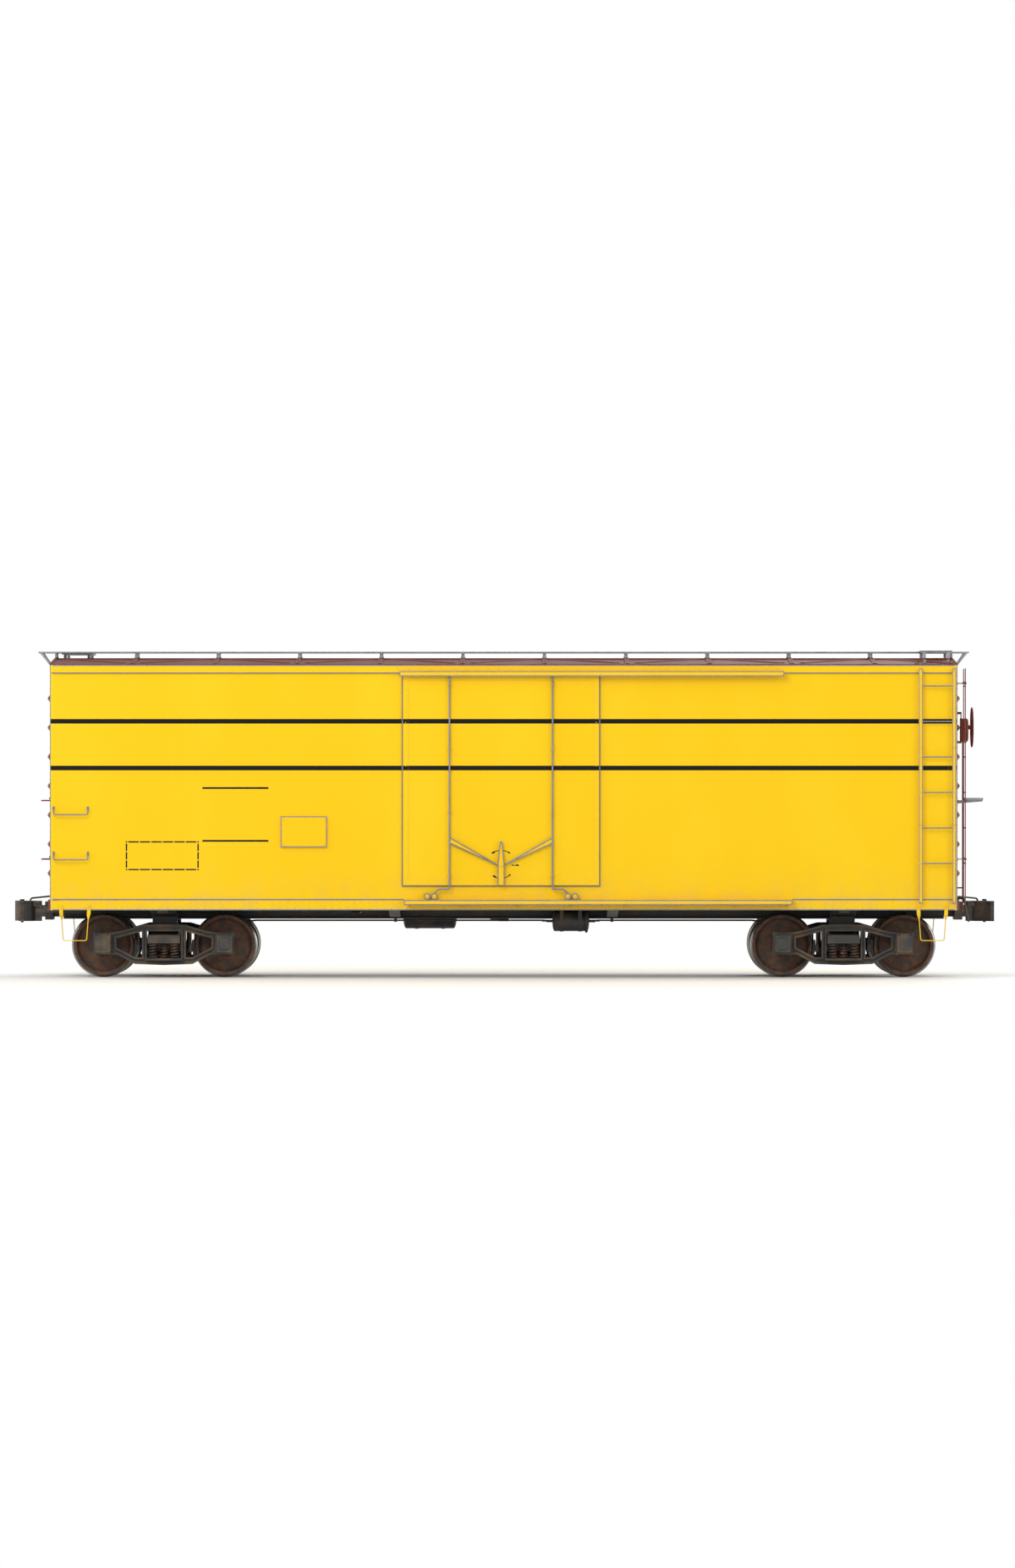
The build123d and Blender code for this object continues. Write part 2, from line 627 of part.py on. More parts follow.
def train_pipe(extra=0.0):
    """The brake pipe under the car, which crosses over so that its end is on the same hand at each end."""
    z = RAIL_Z + PIPE_HEIGHT
    points = [
        (COCK_X, PIPE_Y, z),
        (PIPE_CROSSING_X + PIPE_BEND, PIPE_Y, z),
        (PIPE_CROSSING_X, PIPE_Y - PIPE_BEND, z),
        (PIPE_CROSSING_X, PIPE_BEND - PIPE_Y, z),
        (PIPE_CROSSING_X - PIPE_BEND, -PIPE_Y, z),
        (-COCK_X, -PIPE_Y, z),
    ]
    return bar(points, PIPE_RADIUS + extra, PIPE_SIDES)


def center_sill():
    """Two Z bars welded along their top flanges: an inverted trough with flanges turned out below."""
    web, inside = CENTER_SILL_WEB_Y, CENTER_SILL_INSIDE / 2
    low, top = CENTER_SILL_BOTTOM_Z, FLOOR_BOTTOM_Z
    half = [
        (inside, low),
        (web + CENTER_SILL_FLANGE, low),
        (web + CENTER_SILL_FLANGE, low + 16),
        (web, low + 22),
        (web, top),
    ]
    inner_top = (inside, top - 16)
    outline = half + [(-y, z) for y, z in reversed(half)] + [(-inner_top[0], inner_top[1]), inner_top]
    return prism_x(outline, -INNER_X, INNER_X)


def side_sill():
    """A channel along the bottom of the near side, open towards the middle of the car."""
    out, inner = -SILL_Y, -SILL_Y + SILL_FLANGE
    low, top, metal = SILL_BOTTOM_Z, SILL_TOP_Z, SILL_METAL
    outline = [
        (out, low),
        (inner, low),
        (inner, low + metal),
        (out + metal, low + metal),
        (out + metal, top - metal),
        (inner, top - metal),
        (inner, top),
        (out, top),
    ]
    return prism_x(outline, -INNER_X, INNER_X)


def cross_beam(x, length, depth, shallow):
    """A cross member from sill to sill, deep beside the centre sill and shallow at the side sills."""
    side = SILL_Y - SILL_FLANGE
    top = CROSS_TOP_Z
    near = CENTER_SILL_WEB_Y + CENTER_SILL_FLANGE + 40
    outline = [
        (side, top),
        (side, top - shallow),
        (near, top - depth),
        (-near, top - depth),
        (-side, top - shallow),
        (-side, top),
    ]
    return prism_x(outline, x - length / 2, x + length / 2)


def body_bolster():
    """The body bolster at the B end with its centre plate, king pin and side bearings."""
    bottom = CENTER_SILL_BOTTOM_Z - 18
    side = SILL_Y - SILL_FLANGE
    shallow_z = RAIL_Z + BOLSTER_SHALLOW_HEIGHT
    outline = [
        (side, CROSS_TOP_Z),
        (side, shallow_z),
        (SIDE_BEARING_OFFSET + 90, bottom + 60),
        (300, bottom),
        (-300, bottom),
        (-SIDE_BEARING_OFFSET - 90, bottom + 60),
        (-side, shallow_z),
        (-side, CROSS_TOP_Z),
    ]
    beam = prism_x(outline, TRUCK_X - BOLSTER_LENGTH / 2, TRUCK_X + BOLSTER_LENGTH / 2)
    trough = block(
        (TRUCK_X - BOLSTER_LENGTH, TRUCK_X + BOLSTER_LENGTH),
        (-CENTER_SILL_INSIDE / 2, CENTER_SILL_INSIDE / 2),
        (CENTER_SILL_BOTTOM_Z, CROSS_TOP_Z + 1),
    )
    beam -= trough
    plate = rod((TRUCK_X, 0, CENTER_PLATE_Z), (TRUCK_X, 0, bottom + 2), CENTER_PLATE_RADIUS)
    pin = rod((TRUCK_X, 0, CENTER_PLATE_Z - 100), (TRUCK_X, 0, bottom), KING_PIN_RADIUS)
    bearing_z = CENTER_PLATE_Z + BOWL_DEPTH + 10 + SIDE_BEARING_GAP
    bearings = [
        block(
            (TRUCK_X - 170, TRUCK_X + 170),
            (hand * SIDE_BEARING_OFFSET - 55, hand * SIDE_BEARING_OFFSET + 55),
            (bearing_z, bottom + 80),
        )
        for hand in (-1, 1)
    ]
    pads = [
        block(
            (TRUCK_X - JACK_PAD / 2, TRUCK_X + JACK_PAD / 2),
            sorted((hand * (side - 10), hand * (side - 10 - JACK_PAD))),
            (shallow_z - JACK_PAD_DROP, CROSS_TOP_Z - 10),
        )
        for hand in (-1, 1)
    ]
    return beam + [plate, pin] + bearings + pads


def make_underframe():
    """Sills, bolsters, cross members, floor stringers and the floor."""
    sill = center_sill()
    pipe_hole = train_pipe(PIPE_HOLE_CLEARANCE)
    node("center_sill", sill - pipe_hole)
    node("side_sills", *both(side_sill()))
    bolster = body_bolster() - sill - pipe_hole
    far_bolster = half_round(body_bolster()) - sill - pipe_hole
    node("body_bolsters", bolster, far_bolster)
    shallow = CROSS_TOP_Z - SILL_BOTTOM_Z
    sill_space = block(
        (-INNER_X, INNER_X), (-CENTER_SILL_WEB_Y, CENTER_SILL_WEB_Y), (CENTER_SILL_BOTTOM_Z, FLOOR_BOTTOM_Z)
    )
    sill_space += sill
    beams = []
    for x, length, depth in CROSS_MEMBERS:
        for way in (-1, 1):
            edge = min(shallow, depth)
            beams.append(cross_beam(way * x, length, depth, edge) - sill_space - pipe_hole)
    node("cross_members", *beams)
    stringers = [
        block(
            (-INNER_X, INNER_X),
            (hand * y - STRINGER_WIDTH / 2, hand * y + STRINGER_WIDTH / 2),
            (CROSS_TOP_Z, FLOOR_BOTTOM_Z),
        )
        for y in STRINGER_YS
        for hand in (-1, 1)
    ]
    node("floor_stringers", *stringers)
    node("floor", block((-INNER_X, INNER_X), (-INNER_Y, INNER_Y), (FLOOR_BOTTOM_Z, FLOOR_Z)))


def shank_passage(x_low, x_high):
    """The room a coupler shank needs in what it passes through."""
    half_y = SHANK_WIDTH / 2 + SHANK_SIDE_PLAY
    half_z = SHANK_DEPTH / 2
    return block(
        (x_low - 1, x_high + 1), (-half_y, half_y), (COUPLER_Z - half_z, COUPLER_Z + half_z + SHANK_RISE)
    )


def end_wall():
    """The B end: a thick wall with seven pressed ribs, a proud end sill and rounded corners."""
    outline = [
        (-SIDE_Y, SILL_BOTTOM_Z),
        (SIDE_Y, SILL_BOTTOM_Z),
        (SIDE_Y, PLATE_BOTTOM_Z),
        (EAVES_Y, PLATE_BOTTOM_Z),
        (EAVES_Y, EAVES_Z),
        (-EAVES_Y, EAVES_Z),
        (-EAVES_Y, PLATE_BOTTOM_Z),
        (-SIDE_Y, PLATE_BOTTOM_Z),
    ]
    wall = prism_x(outline, INNER_X, END_X)
    corners = [
        edge
        for edge in wall.edges().filter_by(Axis.Z)
        if abs(edge.center().X - END_X) < 0.1 and edge.length > INSIDE_HEIGHT
    ]
    wall = fillet(corners, CORNER_RADIUS)
    pitch = (EAVES_Z - SILL_TOP_Z) / (END_RIBS + 1)
    ribs = [end_rib(SILL_TOP_Z + pitch * (count + 1) - pitch * 0.12) for count in range(END_RIBS)]
    sill_x = (END_X - 5, END_X + END_SILL_PROUD)
    sill = block(sill_x, (-SIDE_Y + 40, SIDE_Y - 40), (SILL_BOTTOM_Z, SILL_TOP_Z))
    return wall + ribs + [sill] - shank_passage(INNER_X, END_X + END_SILL_PROUD)


def end_rib(z):
    """A pressed rib like a rolling pin: a barrel that tapers to a neck at each side, and round tips."""
    barrel = END_RIB_BARREL / 2
    neck = barrel + END_RIB_TAPER
    tip = END_RIB_LENGTH / 2
    half = [
        # distance from the middle of the car, radius
        (barrel, END_RIB_RADIUS),
        (neck, END_RIB_NECK),
        (tip - END_RIB_TIP, END_RIB_NECK),
        (tip, END_RIB_TIP_RADIUS),
    ]
    return Pos(END_X, 0, z) * faceted([(-y, r) for y, r in reversed(half)] + half, END_RIB_SIDES)


def roof_z(y):
    """Height of the roof sheets at a distance from the middle of the car."""
    return RIDGE_Z - ROOF_RISE * abs(y) / EAVES_Y


def seam_z(y):
    """Height of the top of the seam caps."""
    return RIDGE_Z + SEAM_HEIGHT - (ROOF_RISE + SEAM_FALL) * abs(y) / EAVES_Y


def roof():
    """Sheet roof with seam caps and a diagonal rib in each panel, solid down to the ceiling."""
    eaves_top = EAVES_Z + ROOF_EDGE
    outline = [
        (-EAVES_Y, EAVES_Z),
        (EAVES_Y, EAVES_Z),
        (EAVES_Y, eaves_top),
        (0, RIDGE_Z),
        (-EAVES_Y, eaves_top),
    ]
    shell = prism_x(outline, -END_X, END_X)
    ceiling = block((-INNER_X, INNER_X), (-INNER_Y, INNER_Y), (CEILING_Z, EAVES_Z))
    seam = [
        (-EAVES_Y, eaves_top - 6),
        (0, RIDGE_Z - 6),
        (EAVES_Y, eaves_top - 6),
        (EAVES_Y, seam_z(EAVES_Y)),
        (0, seam_z(0)),
        (-EAVES_Y, seam_z(EAVES_Y)),
    ]
    pitch = 2 * END_X / ROOF_PANELS
    caps = []
    for count in range(ROOF_PANELS + 1):
        x = -END_X + count * pitch
        low, high = max(-END_X, x - SEAM_WIDTH / 2), min(END_X, x + SEAM_WIDTH / 2)
        caps.append(prism_x(seam, low, high))
    slope = atan2(ROOF_RISE, EAVES_Y)
    ribs = []
    for count in range(ROOF_PANELS):
        middle = -END_X + (count + 0.5) * pitch
        for side in (-1, 1):
            lean = 1 if count % 2 == 0 else -1
            run_x = -side * lean * (pitch - 2 * DIAGONAL_END_GAP)
            y_near, y_far = side * (WALK_WIDTH / 2 + 76), side * (EAVES_Y - DIAGONAL_END_GAP)
            centre_y = (y_near + y_far) / 2
            centre_z = roof_z(centre_y)
            across = Vector(0, side * cos(slope), -sin(slope))
            along = Vector(run_x, 0, 0) + across * (abs(y_far - y_near) / cos(slope))
            normal = Vector(0, side * sin(slope), cos(slope))
            place = Plane(origin=(middle, centre_y, centre_z - 2), x_dir=along, z_dir=normal)
            rib = extrude(
                place * Rectangle(along.length, DIAGONAL_WIDTH),
                amount=DIAGONAL_HEIGHT + 2,
                taper=DIAGONAL_TAPER,
            )
            ribs.append(rib)
    return shell + [ceiling] + caps + ribs


def spaced(low, high, width, count):
    """Bands of one width, spaced evenly from one edge to the other."""
    step = (high - low - width) / (count - 1)
    return [(low + number * step, low + number * step + width) for number in range(count)]


def running_board():
    """Bars on edge along the ridge, laid on a cross bar and a saddle at each roof seam."""
    top = WALK_TOP_Z
    bottom = top - WALK_THICKNESS
    bed = bottom + WALK_CROSS_BAR
    reach = END_X + WALK_OVERHANG
    half = WALK_WIDTH / 2
    inset = WALK_SADDLE_INSET
    bars = [block((-reach, reach), band, (bed, top)) for band in spaced(-half, half, WALK_BAR, WALK_BARS)]
    pitch = 2 * END_X / ROOF_PANELS
    saddles = []
    for count in range(ROOF_PANELS + 1):
        x = -END_X + count * pitch
        low, high = max(-END_X, x - 22), min(END_X, x + 22)
        saddle = [
            (-half, bed),
            (half, bed),
            (half, bottom),
            (half - inset, bottom),
            (half - inset, seam_z(half - inset)),
            (0, seam_z(0)),
            (-half + inset, seam_z(half - inset)),
            (-half + inset, bottom),
            (-half, bottom),
        ]
        saddles.append(prism_x(saddle, low, high))
    braces = []
    for side in (-1, 1):
        y = side * (half - inset)
        outline = [(END_X, EAVES_Z - 60), (END_X + 14, EAVES_Z - 60), (reach - 20, bed), (reach - 60, bed)]
        braces.append(prism_y(outline, y - 16, y + 16))
    header = block((reach - 60, reach - 20), (-half, half), (bottom, bed))
    braces = [header + braces]
    return saddles[0] + saddles[1:] + bars + braces + [half_round(brace) for brace in braces]


def lateral_board():
    """The short walk from the running board out to the ladder at the corner of the near side."""
    top = WALK_TOP_Z
    bed = top - WALK_THICKNESS + WALK_CROSS_BAR
    low_x, high_x = END_X - LATERAL_INSET - LATERAL_WIDTH, END_X - LATERAL_INSET
    near_y = -WALK_WIDTH / 2 - LATERAL_GAP
    far_y = near_y - LATERAL_LENGTH
    bands = spaced(low_x, high_x, WALK_BAR, LATERAL_BARS)
    bars = [block(band, (far_y, near_y), (bed, top)) for band in bands]
    legs = []
    for low_y, high_y in ((far_y + 20, far_y + 60), (near_y - 120, near_y - 80)):
        leg = [
            (low_y, bed),
            (low_y, roof_z(low_y) + LEG_SEAT_GAP),
            (high_y, roof_z(high_y) + LEG_SEAT_GAP),
            (high_y, bed),
        ]
        legs += [prism_x(leg, x, x + 40) for x in (low_x + 30, high_x - 70)]
        legs.append(block((low_x, high_x), (low_y, high_y), (bed - WALK_CROSS_BAR, bed)))
    return legs[0] + legs[1:] + bars


def wall(x_low, x_high, z_low, z_high):
    """A stretch of the near side wall."""
    return block((x_low, x_high), (-SIDE_Y, -INNER_Y), (z_low, z_high))


def make_body():
    """Side walls, doorway frames, side plates, ends, roof and running board."""
    left_edge, right_edge = DOOR_X - DOORWAY_WIDTH / 2, DOOR_X + DOORWAY_WIDTH / 2
    left = wall(-INNER_X, left_edge, SILL_TOP_Z, PLATE_BOTTOM_Z)
    right = wall(right_edge, INNER_X, SILL_TOP_Z, PLATE_BOTTOM_Z)
    node("near_left_wall", left)
    node("near_right_wall", right)
    node("far_left_wall", half_round(left))
    node("far_right_wall", half_round(right))
    header = wall(left_edge, right_edge, DOORWAY_TOP_Z, PLATE_BOTTOM_Z)
    threshold = wall(left_edge, right_edge, SILL_TOP_Z, FLOOR_Z)
    node("door_frames", *both(header), *both(threshold))
    plate = block((-INNER_X, INNER_X), (-EAVES_Y, -INNER_Y), (PLATE_BOTTOM_Z, EAVES_Z))
    node("side_plates", *both(plate))
    end = end_wall()
    node("b_end_wall", end)
    node("a_end_wall", half_round(end))
    node("roof", roof())
    node("running_board", running_board(), *both(lateral_board()))


def door():
    """A plug door: an insulated core that fills the doorway behind a wider face with a raised border."""
    half = DOOR_WIDTH / 2
    x = (DOOR_X - half, DOOR_X + half)
    z = (DOOR_BOTTOM_Z, DOOR_TOP_Z)
    face = block(x, (-DOOR_FACE_Y, -SIDE_Y), z)
    recess = block(
        (x[0] + DOOR_BORDER, x[1] - DOOR_BORDER),
        (-DOOR_FACE_Y - 1, -DOOR_FACE_Y + DOOR_BORDER_PROUD),
        (z[0] + DOOR_BORDER, z[1] - DOOR_BORDER),
    )
    core = block(
        (DOOR_X - DOORWAY_WIDTH / 2 + DOORWAY_CLEARANCE, DOOR_X + DOORWAY_WIDTH / 2 - DOORWAY_CLEARANCE),
        (-SIDE_Y - 1, -INNER_Y),
        (FLOOR_Z + DOORWAY_CLEARANCE, DOORWAY_TOP_Z - DOORWAY_CLEARANCE),
    )
    return face - recess + core


def door_gear():
    """Two upright rods with cranks and rollers, two levers and the middle handle with its lock bar."""
    sheet_y = -DOOR_FACE_Y + DOOR_BORDER_PROUD
    low_z = RAIL_Z + ROD_BOTTOM_HEIGHT
    top_z = UPPER_TRACK_Z + 30
    track_top = SILL_TOP_Z
    pin_z = RAIL_Z + LEVER_PIN_HEIGHT
    width, height = ROD_BRACKET
    half_bracket = width / 2
    bracket_pitch = (DOOR_TOP_Z - DOOR_BOTTOM_Z - 2 * ROD_BRACKET_RISE) / (ROD_BRACKETS - 1)
    pieces = []
    for way in (-1, 1):
        x = DOOR_X + way * ROD_SPACING / 2
        pieces.append(bar([(x, -ROD_Y, low_z), (x, -ROD_Y, top_z)], ROD_RADIUS, ROD_SIDES))
        for count in range(ROD_BRACKETS):
            z = DOOR_BOTTOM_Z + ROD_BRACKET_RISE + count * bracket_pitch
            band = (z - height / 2, z + height / 2)
            pieces.append(block((x - half_bracket, x + half_bracket), (-ROD_Y, sheet_y), band))
        run = [
            (x - way * 16, low_z + CRANK_DEPTH),
            (x + way * CRANK_RUN, low_z + CRANK_DEPTH),
            (x + way * (ROLLER_OFFSETS[0] + 60), track_top + ROLLER_RADIUS + 22),
            (x + way * (ROLLER_OFFSETS[1] + 14), track_top + ROLLER_RADIUS + 16),
            (x + way * (ROLLER_OFFSETS[1] + 14), track_top + ROLLER_RADIUS - 14),
            (x + way * (ROLLER_OFFSETS[0] - 14), track_top + ROLLER_RADIUS - 14),
            (x + way * (ROLLER_OFFSETS[0] - 14), track_top + ROLLER_RADIUS + 14),
            (x + way * (CRANK_RUN - 12), low_z),
            (x - way * 16, low_z),
        ]
        pieces.append(prism_y(run, -ROD_Y - 9, -ROD_Y + 9))
        for reach in ROLLER_OFFSETS:
            edges = (-ROD_Y - ROLLER_WIDTH / 2, -ROD_Y + ROLLER_WIDTH / 2)
            roller = faceted([(y, ROLLER_RADIUS) for y in edges], ROLLER_SIDES)
            pieces.append(Pos(x + way * reach, 0, track_top + ROLLER_RADIUS + 0.5) * roller)
        crank_x = sorted((x - way * 22, x + way * 130))
        top_crank = block(crank_x, (-ROD_Y - 9, -ROD_Y + 9), (top_z - 22, top_z))
        pieces.append(top_crank)
        end_z = RAIL_Z + LEVER_END_HEIGHT
        lever = [
            (x, end_z + LEVER_END_DEPTH / 2),
            (DOOR_X + way * 30, pin_z + LEVER_TIP_DEPTH / 2 + 6),
            (DOOR_X + way * 30, pin_z - LEVER_TIP_DEPTH / 2),
            (x, end_z - LEVER_END_DEPTH / 2),
        ]
        pieces.append(prism_y(lever, -ROD_Y - LEVER_THICKNESS / 2, -ROD_Y + LEVER_THICKNESS / 2))
    half, tip = HANDLE_WIDTH / 2, HANDLE_TIP_WIDTH / 2
    handle = [
        (DOOR_X - half, pin_z),
        (DOOR_X - half, pin_z - 60),
        (DOOR_X + half, pin_z - 60),
        (DOOR_X + half, pin_z),
        (DOOR_X + tip, RAIL_Z + HANDLE_TOP_HEIGHT),
        (DOOR_X - tip, RAIL_Z + HANDLE_TOP_HEIGHT),
    ]
    pieces.append(prism_y(handle, -ROD_Y - 26, -ROD_Y - 10))
    guide = block(
        (DOOR_X - half, DOOR_X + half),
        (-ROD_Y - 10, sheet_y),
        (DOOR_BOTTOM_Z + DOOR_BORDER, pin_z - 40),
    )
    pieces.append(guide)
    boss = faceted([(-ROD_Y - BOSS_REACH, BOSS_RADIUS), (sheet_y, BOSS_RADIUS)], ROLLER_SIDES)
    pieces.append(Pos(DOOR_X, 0, pin_z) * boss)
    return pieces[0] + pieces[1:]


def lower_track():
    """The rail shelf on the side sill that the door rollers run on, with gussets under it."""
    top = SILL_TOP_Z
    outline = [
        (-SILL_Y, top),
        (-SILL_Y, top - TRACK_METAL),
        (-EXTREME_Y + TRACK_METAL, top - TRACK_METAL),
        (-EXTREME_Y + TRACK_METAL, top - LOWER_TRACK_DEPTH),
        (-EXTREME_Y, top - LOWER_TRACK_DEPTH),
        (-EXTREME_Y, top),
    ]
    low, high = LOWER_TRACK_SPAN
    shelf = prism_x(outline, low, high)
    gusset = [
        (-SILL_Y, top - TRACK_METAL),
        (-SILL_Y, top - LOWER_TRACK_DEPTH - 30),
        (-EXTREME_Y + TRACK_METAL, top - LOWER_TRACK_DEPTH + 6),
        (-EXTREME_Y + TRACK_METAL, top - TRACK_METAL),
    ]
    gussets = []
    for count in range(TRACK_GUSSETS):
        x = low + 60 + count * (high - low - 120) / (TRACK_GUSSETS - 1)
        gussets.append(prism_x(gusset, x - 6, x + 6))
    return shelf + gussets


def upper_track():
    """The hood over the door top that holds the upper cranks in."""
    low_z = UPPER_TRACK_Z
    reach = SIDE_Y + UPPER_TRACK_REACH
    shelf_top = PLATE_BOTTOM_Z
    outline = [
        (-SIDE_Y, shelf_top),
        (-SIDE_Y, shelf_top - TRACK_METAL),
        (-reach + 10, shelf_top - TRACK_METAL),
        (-reach + 10, low_z),
        (-reach, low_z),
        (-reach, low_z + UPPER_TRACK_DEPTH),
        (-reach + 10, low_z + UPPER_TRACK_DEPTH),
        (-reach + 10, shelf_top),
    ]
    return prism_x(outline, *UPPER_TRACK_SPAN)


def make_doors():
    """Both plug doors with their working gear and tracks."""
    leaf, gear = door(), door_gear()
    node("near_door", leaf)
    node("far_door", half_round(leaf))
    node("near_door_gear", gear)
    node("far_door_gear", half_round(gear))
    node("door_tracks", *both(lower_track()), *both(upper_track()))


def side_ladder():
    """The ladder at the right-hand end of the near side: flat stiles, round rungs and stand-off feet."""
    out = -SIDE_Y - LADDER_STAND_OFF
    low, high = (RAIL_Z + height for height in LADDER_HEIGHTS)
    step = (high - low - LADDER_FOOT) / (LADDER_FEET - 1)
    seats = [-SILL_Y] + [-SIDE_Y] * (LADDER_FEET - 2) + [-EAVES_Y]
    pieces = []
    for x in LADDER_X:
        band = (x - STILE_WIDTH / 2, x + STILE_WIDTH / 2)
        pieces.append(block(band, (out, out + STILE_THICKNESS), (low, high)))
        for count, seat in enumerate(seats):
            foot_z = low + count * step
            pieces.append(block(band, (out, seat), (foot_z, foot_z + LADDER_FOOT)))
    for count in range(RUNG_COUNT):
        z = RAIL_Z + RUNG_LOW_HEIGHT + count * RUNG_PITCH
        y = out + STILE_THICKNESS / 2
        pieces.append(bar([(LADDER_X[0], y, z), (LADDER_X[1], y, z)], RUNG_RADIUS))
    return pieces[0] + pieces[1:]


def rib_gap_z(count):
    """The height half way between two ribs of an end, counted from the bottom."""
    pitch = (EAVES_Z - SILL_TOP_Z) / (END_RIBS + 1)
    return SILL_TOP_Z + pitch * (count + 0.5) - pitch * 0.12


def end_ladder():
    """The ladder on the B end beside the near side, standing clear of the pressed ribs."""
    out = END_X + END_LADDER_STAND_OFF
    low, high = (RAIL_Z + height for height in LADDER_HEIGHTS)
    pieces = []
    for y in END_LADDER_Y:
        band = (y - STILE_WIDTH / 2, y + STILE_WIDTH / 2)
        pieces.append(block((out - STILE_THICKNESS, out), band, (low, high)))
        for count in range(1, END_RIBS + 1, 2):
            z = rib_gap_z(count) - LADDER_FOOT / 2
            pieces.append(block((END_X, out), band, (z, z + LADDER_FOOT)))
    for count in range(RUNG_COUNT):
        z = RAIL_Z + RUNG_LOW_HEIGHT + count * RUNG_PITCH
        x = out - STILE_THICKNESS / 2
        pieces.append(bar([(x, END_LADDER_Y[0], z), (x, END_LADDER_Y[1], z)], RUNG_RADIUS))
    return pieces[0] + pieces[1:]


def drop_grab(x_low, x_high, z):
    """A grab iron on the near side whose ends rise before they turn in to the wall."""
    out = -SIDE_Y - GRAB_STAND_OFF
    points = [
        (x_low, -SIDE_Y, z + GRAB_DROP),
        (x_low, out, z + GRAB_DROP),
        (x_low, out, z),
        (x_high, out, z),
        (x_high, out, z + GRAB_DROP),
        (x_high, -SIDE_Y, z + GRAB_DROP),
    ]
    return bar(points, RUNG_RADIUS)


def end_grab(y_low, y_high, z):
    """A plain grab iron on the B end, long enough to stand clear of the ribs."""
    out = END_X + END_LADDER_STAND_OFF
    points = [(END_X, y_low, z), (out, y_low, z), (out, y_high, z), (END_X, y_high, z)]
    return bar(points, RUNG_RADIUS)


def roof_grab():
    """The grab iron on the roof beside the ladder, on the lateral walk's corner."""
    y_low, y_high = -EAVES_Y + 60, -EAVES_Y + 60
    x_low, x_high = END_X - 540, END_X - 100
    base = roof_z(y_low) + 0.9
    top = base + 70
    points = [(x_low, y_low, base), (x_low, y_low, top), (x_high, y_high, top), (x_high, y_high, base)]
    return bar(points, RUNG_RADIUS)


def sill_step(x):
    """A stirrup step under the near side sill, bent from flat bar, with its feet on the sill's face."""
    width, thick = STEP_BAR
    half, inner = STEP_WIDTH / 2, STEP_WIDTH / 2 - thick
    low = SILL_BOTTOM_Z - STEP_DROP
    high = SILL_BOTTOM_Z + 70
    outline = [
        (x - half, high),
        (x - half + 30, low),
        (x + half - 30, low),
        (x + half, high),
        (x + inner, high),
        (x + inner - 29, low + thick),
        (x - inner + 29, low + thick),
        (x - inner, high),
    ]
    step = prism_y(outline, -SILL_Y - width, -SILL_Y)
    return step


def make_safety_gear():
    """Ladders, grab irons, sill steps and the boards for route cards."""
    node("side_ladders", *both(side_ladder()))
    node("end_ladders", *both(end_ladder()))
    side_grabs = [drop_grab(*GRAB_X, RAIL_Z + height) for height in GRAB_HEIGHTS]
    node("side_grab_irons", *[copy for grab in side_grabs for copy in both(grab)])
    end_grabs = [end_grab(*END_GRAB_Y, rib_gap_z(count)) for count in (1, 3)]
    end_grabs.append(roof_grab())
    node("end_grab_irons", *[copy for grab in end_grabs for copy in both(grab)])
    node("sill_steps", *both(sill_step(STEP_X)), *both(sill_step(-STEP_X)))
    z = (RAIL_Z + BOARD_HEIGHTS[0], RAIL_Z + BOARD_HEIGHTS[1])
    side_board = block(BOARD_X, (-SIDE_Y - BOARD_THICKNESS, -SIDE_Y), z)
    node("tack_boards", *both(side_board))


def coupler_at_b():
    """The cast coupler body: shank, head, guard arm and the two lugs that hold the knuckle."""
    face_x = END_X + COUPLER_REACH
    head_outline = [
        (-350, -SHANK_WIDTH / 2),
        (-262, -SHANK_WIDTH / 2),
        (-215, -122),
        (-120, -158),
        (-20, -238),
        (26, -246),
        (34, -214),
        (-52, -128),
        (-112, -72),
        (-128, 20),
        (-104, 52),
        (-44, 66),
        (-36, 140),
        (-108, 168),
        (-215, 132),
        (-262, SHANK_WIDTH / 2),
        (-350, SHANK_WIDTH / 2),
    ]
    head_points = [(face_x + x, y) for x, y in head_outline]
    head = prism_z(head_points, COUPLER_Z - HEAD_DEPTH / 2, COUPLER_Z + HEAD_DEPTH / 2)
    slot = block(
        (face_x - 124, face_x - 20),
        (46, 180),
        (COUPLER_Z - KNUCKLE_DEPTH / 2 - 1, COUPLER_Z + KNUCKLE_DEPTH / 2 + 1),
    )
    pin_x, pin_y = face_x + KNUCKLE_PIN[0], KNUCKLE_PIN[1]
    pin_hole = rod((pin_x, pin_y, COUPLER_Z - 200), (pin_x, pin_y, COUPLER_Z + 200), KNUCKLE_PIN_RADIUS + 0.5)
    shank = block(
        (INNER_X - 300, face_x - 300),
        (-SHANK_WIDTH / 2, SHANK_WIDTH / 2),
        (COUPLER_Z - SHANK_DEPTH / 2, COUPLER_Z + SHANK_DEPTH / 2),
    )
    horn_z = (COUPLER_Z + SHANK_DEPTH / 2 - 10, COUPLER_Z + 128)
    horn = block((face_x - 330, face_x - 236), (-100, 100), horn_z)
    return head - slot - pin_hole + [shank, horn]


